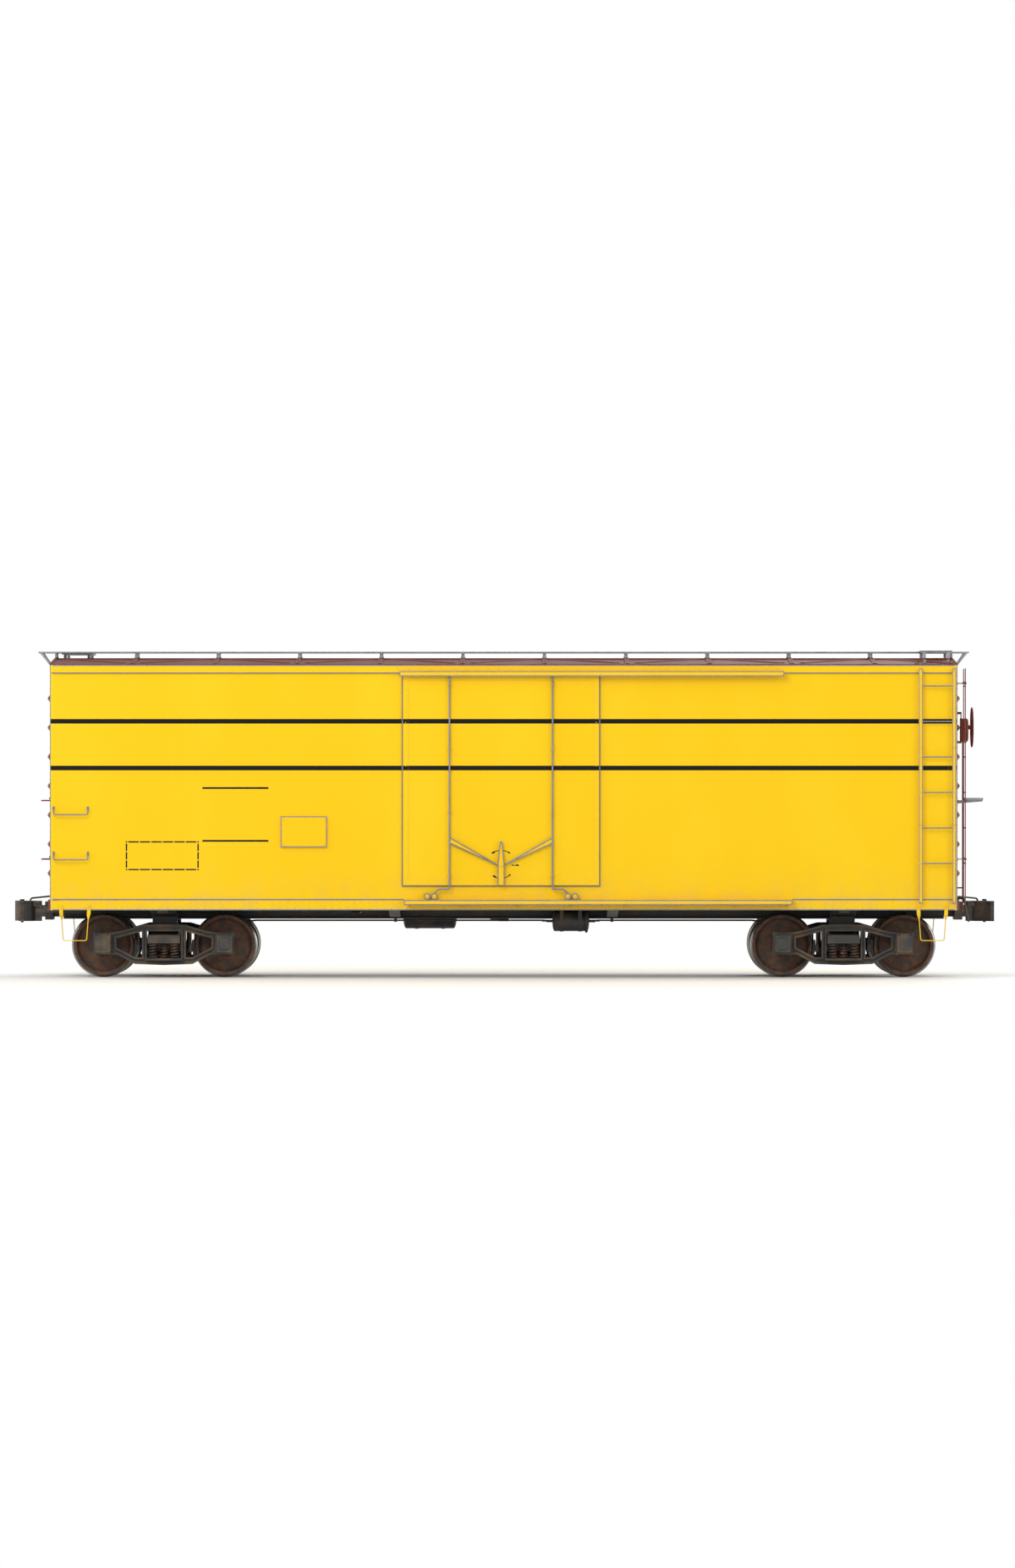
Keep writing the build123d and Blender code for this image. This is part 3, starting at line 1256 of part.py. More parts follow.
def knuckle_at_b():
    """The hooked jaw on its upright pin."""
    face_x = END_X + COUPLER_REACH
    outline = [
        (-122, 64),
        (-60, 60),
        (-56, 10),
        (-68, -36),
        (-52, -62),
        (-22, -54),
        (0, -18),
        (0, 104),
        (-16, 140),
        (-60, 158),
        (-122, 146),
    ]
    jaw = prism_z(
        [(face_x + x, y) for x, y in outline],
        COUPLER_Z - KNUCKLE_DEPTH / 2,
        COUPLER_Z + KNUCKLE_DEPTH / 2,
    )
    pin_x, pin_y = face_x + KNUCKLE_PIN[0], KNUCKLE_PIN[1]
    pin = rod((pin_x, pin_y, COUPLER_Z - 158), (pin_x, pin_y, COUPLER_Z + 158), KNUCKLE_PIN_RADIUS)
    cap = bar([(pin_x, pin_y, COUPLER_Z + HEAD_DEPTH / 2), (pin_x, pin_y, COUPLER_Z + 164)], 30)
    return jaw + [pin, cap]


def striker_at_b():
    """The casting on the end sill that the coupler shank passes through and rests on."""
    x = (END_X + END_SILL_PROUD, END_X + STRIKER_REACH)
    half = STRIKER_WIDTH / 2
    low = COUPLER_Z - SHANK_DEPTH / 2 - STRIKER_WALL
    high = COUPLER_Z + SHANK_DEPTH / 2 + STRIKER_WALL + SHANK_RISE
    outline = [(-half, high), (half, high), (half - 24, low), (-half + 24, low)]
    return prism_x(outline, *x) - shank_passage(*x)


def cut_lever_at_b():
    """The uncoupling rod from the coupler out to the corner, where it ends in a hanging handle."""
    x, z = END_X + CUT_LEVER_STAND_OFF, SILL_TOP_Z + 26
    head_x = END_X + COUPLER_REACH - 190
    points = [
        (x + 70, -CUT_LEVER_END_Y, z - CUT_LEVER_DROP),
        (x, -CUT_LEVER_END_Y, z),
        (x, -150, z),
        (head_x, -60, COUPLER_Z + HEAD_DEPTH / 2 + 34),
        (head_x, -60, COUPLER_Z + HEAD_DEPTH / 2),
    ]
    lever = bar(points, CUT_LEVER_RADIUS)
    brackets = [
        block((END_X, x), (y - 12, y + 12), (z - 26, z + 4)) for y in (100 - CUT_LEVER_END_Y, -420)
    ]
    return lever + brackets


def make_end_gear():
    """Couplers, knuckles, strikers and uncoupling levers at both ends."""
    node("couplers", *both(coupler_at_b()))
    node("knuckles", *both(knuckle_at_b()))
    node("strikers", *both(striker_at_b()))
    node("cut_levers", *both(cut_lever_at_b()))


def tank_with_straps(x, y, z, radius, dome):
    """A tank along the car with domed ends, hung from the floor by two straps."""
    low, high = x
    body = bar([(low, y, z), (high, y, z)], radius, TANK_SIDES)
    body += bar([(low - dome, y, z), (high + dome, y, z)], radius * DOME_SHARE, TANK_SIDES)
    straps = [
        block((at - 25, at + 25), (y - radius * 0.5, y + radius * 0.5), (z, FLOOR_BOTTOM_Z))
        for at in (low + 0.22 * (high - low), high - 0.22 * (high - low))
    ]
    return body + straps


def brake_cylinder():
    """The air brake cylinder with its flanged heads and the piston rod."""
    z = RAIL_Z + ROD_PLANE_HEIGHT
    body = tank_with_straps(CYLINDER_X, CYLINDER_Y, z, CYLINDER_RADIUS, 30)
    low, high = CYLINDER_X
    flange = bar([(high - 26, CYLINDER_Y, z), (high, CYLINDER_Y, z)], CYLINDER_RADIUS + 22, TANK_SIDES)
    piston = bar([(high, CYLINDER_Y, z), (LEVER_XS[1] - LEVER_WIDTH / 2, CYLINDER_Y, z)], 20)
    tail = bar([(low, CYLINDER_Y, z), (LEVER_XS[0] + LEVER_WIDTH / 2, CYLINDER_Y, z)], 18)
    return body + [flange, piston, tail]


def brake_valve():
    """The control valve: a pipe bracket with a service and an emergency part bolted to its faces."""
    z = RAIL_Z + VALVE_HEIGHT
    bracket = block((-70, 70), (TANK_Y - 90, TANK_Y + 90), (z - 130, FLOOR_BOTTOM_Z))
    parts = []
    for way, radius, reach in ((-1, 84, 120), (1, 72, 96)):
        for size, end in ((radius, 70 + reach), (radius * 0.6, 90 + reach)):
            parts.append(bar([(way * 60, TANK_Y, z - 20), (way * end, TANK_Y, z - 20)], size, ROD_SIDES))
    return bracket + parts


def brake_rods():
    """Cylinder lever, floating lever and the rods to the trucks, hung under the cross bearers."""
    z = RAIL_Z + ROD_PLANE_HEIGHT
    pieces = []
    for x in LEVER_XS:
        end, waist = LEVER_WIDTH / 2, LEVER_WIDTH / 2 + 8
        outline = [
            (x - end, CYLINDER_Y - 44),
            (x + end, CYLINDER_Y - 44),
            (x + end, CYLINDER_Y + 44),
            (x + waist, -PIPE_Y),
            (x + end, -40),
            (x - end, -40),
            (x - waist, -PIPE_Y),
            (x - end, CYLINDER_Y + 44),
        ]
        pieces.append(prism_z(outline, z - 9, z + 9))
    pieces.append(bar([(LEVER_XS[0], -PIPE_Y, z), (LEVER_XS[1], -PIPE_Y, z)], BRAKE_ROD_RADIUS))
    eye_z = RAIL_Z + ROD_EYE_HEIGHT
    eye_x = TRUCK_X - ROD_EYE_FROM_TRUCK
    for start, way in ((LEVER_XS[1], 1), (LEVER_XS[0], -1)):
        points = [
            (start, -66, z),
            (way * (TRUCK_X - ROD_BEND_FROM_TRUCK), -66, z),
            (way * eye_x, -66 + 40, eye_z),
        ]
        pieces.append(bar(points, BRAKE_ROD_RADIUS))
    bearer_x, _, bearer_depth = CROSS_MEMBERS[1]
    bearer_bottom = CROSS_TOP_Z - bearer_depth
    for x, y in ((bearer_x, -66), (-bearer_x, -66)):
        hanger_z = (z - 22, min(bearer_bottom, CENTER_SILL_BOTTOM_Z))
        pieces.append(block((x - 20, x + 20), (y - 22, y + 22), hanger_z))
    return pieces[0] + pieces[1:]


def pipe_with_cocks():
    """The brake pipe, its clamps and an angle cock with a bored hose outlet at each end."""
    z = RAIL_Z + PIPE_HEIGHT
    pipe = train_pipe()
    tie_bottom = CROSS_TOP_Z - CROSS_TIE_DEPTH
    clamps = []
    for x, length, depth in CROSS_MEMBERS:
        if depth > CROSS_TIE_DEPTH:
            continue
        for way in (-1, 1):
            y = PIPE_Y if way * x > PIPE_CROSSING_X else -PIPE_Y
            clamps.append(block((way * x - 18, way * x + 18), (y - 28, y + 28), (z - 10, tie_bottom)))
    pipe += clamps
    for way in (-1, 1):
        start = way * (COCK_X - 30)
        end = way * (COCK_X + 90)
        y = way * PIPE_Y
        cock = bar([(start, y, z), (end, y, z)], COCK_RADIUS, PIPE_SIDES)
        key = bar([(way * (COCK_X + 20), y, z), (way * (COCK_X + 20), y, z + 74)], 17)
        handle = block(
            sorted((way * (COCK_X + 8), way * (COCK_X + 120))), (y - 9, y + 9), (z + 66, z + 80)
        )
        hanger = block(
            sorted((way * (END_X + END_SILL_PROUD), way * (COCK_X - 10))), (y - 12, y + 12), (z, z + 60)
        )
        pipe += [cock, key, handle, hanger]
        pipe -= rod((end - way * HOSE_BORE_DEPTH, y, z), (end + way * 1, y, z), HOSE_BORE_RADIUS)
    return pipe


def brake_wheel_rim():
    """The rim of the hand wheel, a many-sided hoop round the X axis."""
    width, depth = BRAKE_WHEEL_RIM
    face = Plane.YZ * RegularPolygon(BRAKE_WHEEL_RADIUS, BRAKE_WHEEL_SIDES, major_radius=False)
    face -= Plane.YZ * RegularPolygon(BRAKE_WHEEL_RADIUS - depth, BRAKE_WHEEL_SIDES, major_radius=False)
    return extrude(face, amount=width / 2, both=True)


def hand_brake():
    """The geared hand brake on the B end: housing, spoked wheel, and the rod down to a bell crank."""
    z = RAIL_Z + BRAKE_WHEEL_HEIGHT
    y = BRAKE_WHEEL_Y
    depth, width, height = BRAKE_HOUSING
    wheel_x = END_X + BRAKE_WHEEL_STAND_OFF
    back = wheel_x - 50 - depth
    housing_z = (z - height * 0.62, z + height * 0.38)
    housing = block((back, back + depth), (y - width / 2, y + width / 2), housing_z)
    pieces = [housing]
    gaps = [rib_gap_z(count) for count in range(END_RIBS + 1)]
    near_gaps = sorted(gaps, key=lambda gap: abs(gap - (z - 40)))[:2]
    for gap in near_gaps:
        low, high = sorted((gap, z - 40))
        pieces.append(block((END_X, back + 12), (y - 60, y + 60), (gap - 16, gap + 16)))
    pieces.append(block((back - 2, back + 14), (y - 60, y + 60), (min(near_gaps) - 16, max(near_gaps) + 16)))
    rim = Pos(wheel_x, y, z) * brake_wheel_rim()
    hub = bar([(back + depth - 5, y, z), (wheel_x + 16, y, z)], 34, ROD_SIDES)
    pieces += [rim, hub]
    for count in range(BRAKE_WHEEL_SPOKES):
        angle = radians(30 + count * 360 / BRAKE_WHEEL_SPOKES)
        reach = BRAKE_WHEEL_RADIUS - BRAKE_WHEEL_RIM[1] / 2
        tip = (wheel_x, y + reach * cos(angle), z + reach * sin(angle))
        pieces.append(bar([(wheel_x, y, z), tip], SPOKE_RADIUS))
    chain_x = back + 30
    low = SILL_BOTTOM_Z - 40
    pieces.append(bar([(chain_x, y - 60, z - height * 0.6), (chain_x, y - 60, low)], 10))
    foot_gap = rib_gap_z(0)
    pieces.append(block((END_X, chain_x + 16), (y - 78, y - 42), (foot_gap - 10, foot_gap + 10)))
    return pieces[0] + pieces[1:]


def brake_step():
    """The small platform below the hand brake, on two brackets between the ribs."""
    depth, width, thick = BRAKE_STEP
    z = rib_gap_z(BRAKE_STEP_AT_GAP)
    y = BRAKE_WHEEL_Y - 20
    near = END_X + BRAKE_STEP_STAND_OFF
    board = block((near, near + depth), (y - width / 2, y + width / 2), (z, z + thick))
    brackets = []
    for side in (-1, 1):
        at = y + side * (width / 2 - 60)
        outline = [(END_X, z), (near + depth - 8, z), (near + depth - 8, z - 14), (END_X, z - 46)]
        brackets.append(prism_y(outline, at - 20, at + 20))
    return board + brackets


def make_brakes():
    """The air brake under the floor and the hand brake on the B end."""
    node("brake_cylinder", brake_cylinder())
    node(
        "air_reservoir",
        tank_with_straps(RESERVOIR_X, TANK_Y, RAIL_Z + RESERVOIR_HEIGHT, RESERVOIR_RADIUS, 48),
    )
    node("brake_valve", brake_valve())
    node("brake_rods", brake_rods())
    node("train_pipe", pipe_with_cocks())
    node("hand_brake", hand_brake())
    node("brake_step", brake_step())


make_trucks()
make_underframe()
make_body()
make_doors()
make_safety_gear()
make_end_gear()
make_brakes()

os.makedirs("parts", exist_ok=True)
for name, shape in MADE.items():
    export_step(shape, f"parts/{name}.step")
print(len(MADE), "pieces written")
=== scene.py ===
# %% [markdown]
# A forty-foot insulated boxcar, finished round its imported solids. The solids are the real pieces at their
# real sizes. This script gives each one its finish, adds the small things that a car builder adds last
# (rivets, bolts, seals, gratings, painted marks), and sets up the light and the camera.
# Everything is in metres in the frame of the solids: +X to the hand brake end, -Y to the drawn side.

# %% Load the frame
import bmesh
import bpy
import numpy as np
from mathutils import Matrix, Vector


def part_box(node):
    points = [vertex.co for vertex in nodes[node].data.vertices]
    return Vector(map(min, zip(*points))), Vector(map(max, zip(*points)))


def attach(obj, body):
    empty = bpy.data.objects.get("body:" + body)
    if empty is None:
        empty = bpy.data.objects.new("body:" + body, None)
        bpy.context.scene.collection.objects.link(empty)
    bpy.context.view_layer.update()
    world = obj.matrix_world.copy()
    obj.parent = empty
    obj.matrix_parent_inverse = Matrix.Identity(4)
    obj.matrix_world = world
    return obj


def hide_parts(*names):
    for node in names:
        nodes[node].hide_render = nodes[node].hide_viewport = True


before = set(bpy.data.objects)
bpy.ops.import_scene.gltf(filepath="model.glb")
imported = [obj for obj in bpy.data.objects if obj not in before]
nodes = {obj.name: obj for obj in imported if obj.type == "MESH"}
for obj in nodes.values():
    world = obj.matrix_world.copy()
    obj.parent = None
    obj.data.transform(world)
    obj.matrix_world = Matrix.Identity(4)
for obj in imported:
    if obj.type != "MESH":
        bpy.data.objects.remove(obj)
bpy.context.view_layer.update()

# %% [markdown]
# Heights and widths are read back from the solids, so that what is added always sits on them. Every piece
# below takes its place from these few numbers and from the real sizes of rivets, bolts and pipes.

# %% Sizes read from the solids
MM = 0.001
RAIL_TOP = 0.0254


def low(node, axis):
    """Lowest coordinate of a solid along an axis, 0 to 2."""
    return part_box(node)[0][axis]


def high(node, axis):
    """Highest coordinate of a solid along an axis, 0 to 2."""
    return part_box(node)[1][axis]


side_y = high("far_left_wall", 1)
wall_foot, wall_top = low("far_left_wall", 2), high("far_left_wall", 2)
sill_y, sill_foot = high("side_sills", 1), low("side_sills", 2)
eaves_y, eaves_z = high("side_plates", 1), high("side_plates", 2)
inner_x, end_x = high("floor", 0), high("roof", 0)
print("side", round(side_y, 4), "sill", round(sill_y, 4), "eaves", round(eaves_y, 4), round(eaves_z, 4))

# %% [markdown]
# Paint is chosen from colour cards, which are sRGB values, while the renderer works in linear light.
# One function turns a card's hex value to linear. One more adds a node with its settings and links and gives
# back its output, so each finish below reads as a short list of what is laid on what.

# %% Colour and nodes
# Wear starts where the cosine between an edge's rounded and true normals falls to the first value below, and
# it is full at the second.
EDGE_LEAN, EDGE_SAMPLES = (0.985, 0.90), 6


def linear(card, white=0.0):
    """Linear colour of an sRGB hex card, moved a share of the way to white, by the sRGB curve."""
    value = np.array([int(card[i:i + 2], 16) for i in (1, 3, 5)]) / 255
    value = value + (1 - value) * white
    curve = np.where(value <= 0.04045, value / 12.92, ((value + 0.055) / 1.055) ** 2.4)
    return (*curve.tolist(), 1.0)


def add(tree, kind, inputs=None, out=None, **settings):
    """Adds a node, sets its properties, fills its inputs with values or links, and returns one output."""
    node = tree.nodes.new("ShaderNode" + kind)
    for name, value in settings.items():
        setattr(node, name, value)
    for key, value in (inputs or {}).items():
        if isinstance(value, bpy.types.NodeSocket):
            tree.links.new(value, node.inputs[key])
        else:
            node.inputs[key].default_value = value
    return node.outputs[out] if out is not None else next((s for s in node.outputs if s.enabled), node)


def new_finish(name, **shader_values):
    """A material with its surface shader's own sockets set, and the Object coordinates its patterns read."""
    material = bpy.data.materials.new(name)
    material.use_nodes = True
    tree = material.node_tree
    tree.nodes.clear()
    add(tree, "OutputMaterial", {"Surface": add(tree, "BsdfPrincipled")})
    shader = next(node for node in tree.nodes if node.type == "BSDF_PRINCIPLED")
    for key, value in shader_values.items():
        shader.inputs[key.replace("_", " ")].default_value = value
    return material, tree, shader, add(tree, "TexCoord", out="Object")


def feed(tree, shader, **outputs):
    """Links outputs to the surface shader's own sockets, whose names have spaces for the underscores."""
    for name, output in outputs.items():
        tree.links.new(output, shader.inputs[name.replace("_", " ")])


def patches(tree, place, size, clear=0.40, full=0.70, stretch=(1, 1, 1), detail=4.0):
    """Cloudy patches about size metres across: 0 where the noise is under clear, 1 where it is over full."""
    run = add(tree, "Mapping", {"Vector": place, "Scale": [1 / s for s in stretch]})
    cloud = add(tree, "TexNoise", {"Vector": run, "Scale": 1 / size, "Detail": detail}, out="Fac")
    spread = {"Value": cloud, "From Min": clear, "From Max": full}
    return add(tree, "MapRange", spread, interpolation_type="SMOOTHSTEP")


def chipped_edges(tree, place, width, size):
    """1 in broken patches along edges, where a normal rounded over width metres leans from the true one."""
    rounded_normal = add(tree, "Bevel", {"Radius": width}, samples=EDGE_SAMPLES)
    true_normal = add(tree, "NewGeometry", out="Normal")
    lean = add(tree, "VectorMath", {0: rounded_normal, 1: true_normal}, out="Value", operation="DOT_PRODUCT")
    edge = add(tree, "MapRange", {"Value": lean, "From Min": EDGE_LEAN[0], "From Max": EDGE_LEAN[1]})
    return add(tree, "Math", {0: edge, 1: patches(tree, place, size, 0.40, 0.60)}, operation="MULTIPLY")


print("helpers ready")

# %% [markdown]
# The sides are sprayed with alkyd enamel, a satin paint that covers sheet steel in a film a tenth of a
# millimetre thick. From a few steps away it is one flat yellow; close to, it has a faint orange peel from
# the spray gun, chalks a little in the sun, and takes grey dust from the track along its lower edge. The
# two black stripes are masked and sprayed on top, right across the sheets and the door, so they are part
# of the paint: the height of a point decides its colour, and no stripe can come loose from its wall.
# Real orange peel is 2 to 3 mm from crest to crest. It is drawn at 6 mm, because finer peel wouldn't show.

# %% Side paint
YELLOW, STRIPE_BLACK, OXIDE_RED, ROOF_BROWN = "#DEB300", "#060505", "#6A2A1C", "#5A2A20"
PRIMER_GREY, TRACK_DUST = "#8C8A86", "#8F8270"
STRIPE_HEIGHTS, STRIPE_WIDTH = (3.4955, 2.8552), 0.064
DUST_TOP, DUST_FULL, DUST_ROUGHER = RAIL_TOP + 1.60, RAIL_TOP + 0.80, 0.5
CHALK_SIZE, DUST_SIZE, CHIP_SIZE, DENT_SIZE, PEEL_SIZE = 0.90, 0.30, 0.07, 0.45, 6 * MM
DENT_DEPTH, PEEL_DEPTH = 1.2 * MM, 0.04 * MM
CORNER_RADIUS = 0.036
CORNER_Y = side_y - CORNER_RADIUS


def enamel(name, card, striped=False, front=None, dust=0.22, edge=2.5 * MM, rough=0.36):
    """Satin enamel with orange peel, faint chalking, dust near the track and chips along its edges.

    front is the colour of an end's flat sheet, between the corners of the car, where the stripes stop.
    """
    material, tree, shader, place = new_finish(name, IOR=1.48, Specular_IOR_Level=0.20)
    apart = add(tree, "SeparateXYZ", {"Vector": place}, out="X").node
    height = apart.outputs["Z"]
    chalk = patches(tree, place, CHALK_SIZE, 0.35, 0.95, (1, 1, 2.5))
    paint = add(tree, "Mix", {"Factor": chalk, "A": linear(card), "B": linear(card, 0.07)}, data_type="RGBA")
    if front:
        across = add(tree, "Math", {0: apart.outputs["Y"]}, operation="ABSOLUTE")
        corner = add(tree, "Math", {0: across, 1: CORNER_Y}, operation="GREATER_THAN")
        paint = add(tree, "Mix", {"Factor": corner, "A": linear(front), "B": paint}, data_type="RGBA")
    if striped:
        found = [
            add(tree, "Math", {0: height, 1: RAIL_TOP + z, 2: STRIPE_WIDTH / 2}, operation="COMPARE")
            for z in STRIPE_HEIGHTS
        ]
        stripe = add(tree, "Math", {0: found[0], 1: found[1]}, operation="MAXIMUM")
        if front:
            stripe = add(tree, "Math", {0: stripe, 1: corner}, operation="MULTIPLY")
        paint = add(tree, "Mix", {"Factor": stripe, "A": paint, "B": linear(STRIPE_BLACK)}, data_type="RGBA")
    fall = {"Value": height, "From Min": DUST_TOP, "From Max": DUST_FULL, "To Max": dust}
    low_down = add(tree, "MapRange", fall, interpolation_type="SMOOTHSTEP")
    cloud = patches(tree, place, DUST_SIZE, 0.30, 0.80)
    grime = add(tree, "Math", {0: low_down, 1: cloud}, operation="MULTIPLY")
    paint = add(tree, "Mix", {"Factor": grime, "A": paint, "B": linear(TRACK_DUST)}, data_type="RGBA")
    bare = chipped_edges(tree, place, edge, CHIP_SIZE)
    paint = add(tree, "Mix", {"Factor": bare, "A": paint, "B": linear(PRIMER_GREY)}, data_type="RGBA")
    dulled = add(tree, "MapRange", {"Value": grime, "To Min": rough, "To Max": rough + DUST_ROUGHER})
    peel = patches(tree, place, PEEL_SIZE, 0.2, 0.8, detail=2.0)
    peel = add(tree, "Bump", {"Height": peel, "Distance": PEEL_DEPTH, "Strength": 0.6})
    dents = patches(tree, place, DENT_SIZE, 0.1, 0.9, detail=1.0)
    dents = add(tree, "Bump", {"Height": dents, "Distance": DENT_DEPTH, "Strength": 0.3, "Normal": peel})
    feed(tree, shader, Base_Color=paint, Roughness=dulled, Normal=dents)
    return material


striped_side = enamel("yellow_enamel_striped", YELLOW, striped=True, edge=3.0 * MM)
plain_side = enamel("yellow_enamel", YELLOW)
end_paint = enamel("end_enamel", YELLOW, striped=True, front=OXIDE_RED, dust=0.4)
red_oxide = enamel("red_oxide_enamel", OXIDE_RED, dust=0.45, rough=0.46)
roof_cement = enamel("roof_car_cement", ROOF_BROWN, dust=0.0, rough=0.72)
stencil_black = enamel("stencil_enamel", STRIPE_BLACK, dust=0.1)
print("paints", [m.name for m in (striped_side, plain_side, end_paint, red_oxide, roof_cement)])

# %% [markdown]
# Under the floor everything is dipped or brushed with black asphalt paint, and the dust of the track sticks
# to it. The truck frames are sand castings: the mould leaves a coarse skin, and the black on them has gone
# brown where oil from the journal boxes has caught dust. The rubber round the doors is moulded, with no
# grain, and has greyed in the weather.

# %% Asphalt paint, cast steel and rubber
DIRT_SIZE, DIRT_ROUGHNESS, WORN_WIDTH, WORN_SIZE = 0.22, 0.85, 2.5 * MM, 0.05


def coated(name, card, dirt_card, grain, depth, dirt, rough, chips="#4A4642"):
    """A dark brushed or moulded surface: grain of a size and depth in metres, dirt in patches, worn edges."""
    material, tree, shader, place = new_finish(name, IOR=1.5)
    spots = patches(tree, place, DIRT_SIZE, detail=6.0)
    soiled = add(tree, "Math", {0: spots, 1: dirt}, operation="MULTIPLY")
    coat = add(tree, "Mix", {"Factor": soiled, "A": linear(card), "B": linear(dirt_card)}, data_type="RGBA")
    bare = chipped_edges(tree, place, WORN_WIDTH, WORN_SIZE)
    coat = add(tree, "Mix", {"Factor": bare, "A": coat, "B": linear(chips)}, data_type="RGBA")
    dulled = add(tree, "MapRange", {"Value": soiled, "To Min": rough, "To Max": DIRT_ROUGHNESS})
    skin = patches(tree, place, grain, 0.15, 0.85, detail=3.0)
    skin = add(tree, "Bump", {"Height": skin, "Distance": depth, "Strength": 0.8})
    feed(tree, shader, Base_Color=coat, Roughness=dulled, Normal=skin)
    return material


underframe_black = coated("asphalt_black", "#222224", "#5C4D38", 9.0 * MM, 0.25 * MM, 0.45, 0.48)
cast_black = coated("cast_steel_black", "#2C2A28", "#6A563D", 5.0 * MM, 0.5 * MM, 0.60, 0.54)
spring_steel = coated("spring_steel_oiled", "#2B2724", "#6A4326", 3.0 * MM, 0.2 * MM, 0.80, 0.45)
seal_rubber = coated("seal_rubber", "#6E6E72", "#8A857C", 2.0 * MM, 0.05 * MM, 0.40, 0.70, chips="#7C7C80")
print("dark coats", [m.name for m in (underframe_black, cast_black, spring_steel, seal_rubber)])

# %% [markdown]
# A wheel is forged steel. Rails polish its tread and the root of its flange, while the plate rusts under
# oil: brown and matt. The change is a matter of radius only, so the finish works out each point's distance
# from the axle and turns to bright metal outside the tread's edge.
# Zinc dipped hot on small bars and gratings freezes in crystals as broad as a thumbnail. Each is a slightly
# different grey, which is what the cells of a Voronoi pattern give.

# %% Wheel steel and zinc
TREAD_EDGE, TREAD_ROUGHNESS, PLATE_ROUGHNESS = (0.4125, 0.4150), 0.26, 0.72
PLATE_BROWN, PLATE_RUST, BRIGHT_STEEL = "#3A2F28", "#5B3B26", "#9A9894"
ZINC_GREY, BAR_GREY, DULL_GREY = "#85878A", "#6A6A70", "#6E6C68"


def forged_wheel(name, axle_x, axle_z):
    """Brown oiled plate and bright tread, told apart by the distance from the axle."""
    material, tree, shader, place = new_finish(name)
    about = add(tree, "VectorMath", {0: place, 1: (axle_x, 0, axle_z)}, operation="SUBTRACT")
    flat = add(tree, "VectorMath", {0: about, 1: (1, 0, 1)}, operation="MULTIPLY")
    radius = add(tree, "VectorMath", {0: flat}, out="Value", operation="LENGTH")
    tread = add(tree, "MapRange", {"Value": radius, "From Min": TREAD_EDGE[0], "From Max": TREAD_EDGE[1]})
    rust = patches(tree, place, 0.08, 0.35, 0.65, detail=6.0)
    oiled = {"Factor": rust, "A": linear(PLATE_BROWN), "B": linear(PLATE_RUST)}
    plate = add(tree, "Mix", oiled, data_type="RGBA")
    steel = add(tree, "Mix", {"Factor": tread, "A": plate, "B": linear(BRIGHT_STEEL)}, data_type="RGBA")
    polish = add(tree, "MapRange", {"Value": tread, "To Min": PLATE_ROUGHNESS, "To Max": TREAD_ROUGHNESS})
    skin = patches(tree, place, 7 * MM, 0.2, 0.8, detail=3.0)
    skin = add(tree, "Bump", {"Height": skin, "Distance": 0.3 * MM, "Strength": 0.5})
    feed(tree, shader, Base_Color=steel, Metallic=tread, Roughness=polish, Normal=skin)
    return material


def hot_zinc(name, card, spangle=18 * MM, metal=0.55):
    """Hot-dipped zinc: grey metal in crystals spangle metres across, with dull white patches."""
    material, tree, shader, place = new_finish(name, Metallic=metal)
    cells = add(tree, "TexVoronoi", {"Vector": place, "Scale": 1 / spangle}, out="Color")
    tone = add(tree, "SeparateColor", {"Color": cells}, out=0)
    zinc = add(tree, "Mix", {"Factor": tone, "A": linear(card), "B": linear(card, 0.22)}, data_type="RGBA")
    dull = add(tree, "Math", {0: patches(tree, place, 0.25, detail=5.0), 1: 0.5}, operation="MULTIPLY")
    zinc = add(tree, "Mix", {"Factor": dull, "A": zinc, "B": linear(DULL_GREY)}, data_type="RGBA")
    rough = add(tree, "MapRange", {"Value": tone, "To Min": 0.40, "To Max": 0.55})
    feed(tree, shader, Base_Color=zinc, Roughness=rough)
    return material


walk_zinc = hot_zinc("hot_dipped_zinc", ZINC_GREY)
gear_zinc = hot_zinc("dull_zinc", BAR_GREY, 9 * MM, 0.25)
print("metals", walk_zinc.name, gear_zinc.name)

# %% [markdown]
# The floor is hardwood: planks as wide as a hand, laid across the car and nailed to the stringers. From
# below they show their joints and their grain. A plank's number is its x divided by the width, rounded
# down, and that number picks its tone. A plank's edges are where the rest of that division nears 0 or 1.

# %% Floor planks
PLANK_WIDTH, JOINT_EDGE, JOINT_DARK = 0.130, 0.470, 0.492
PLANK_BROWN, PLANK_PALE, GRAIN_BROWN, JOINT_BLACK = "#4A3A2A", "#6B5338", "#3A2C1F", "#0F0C0A"


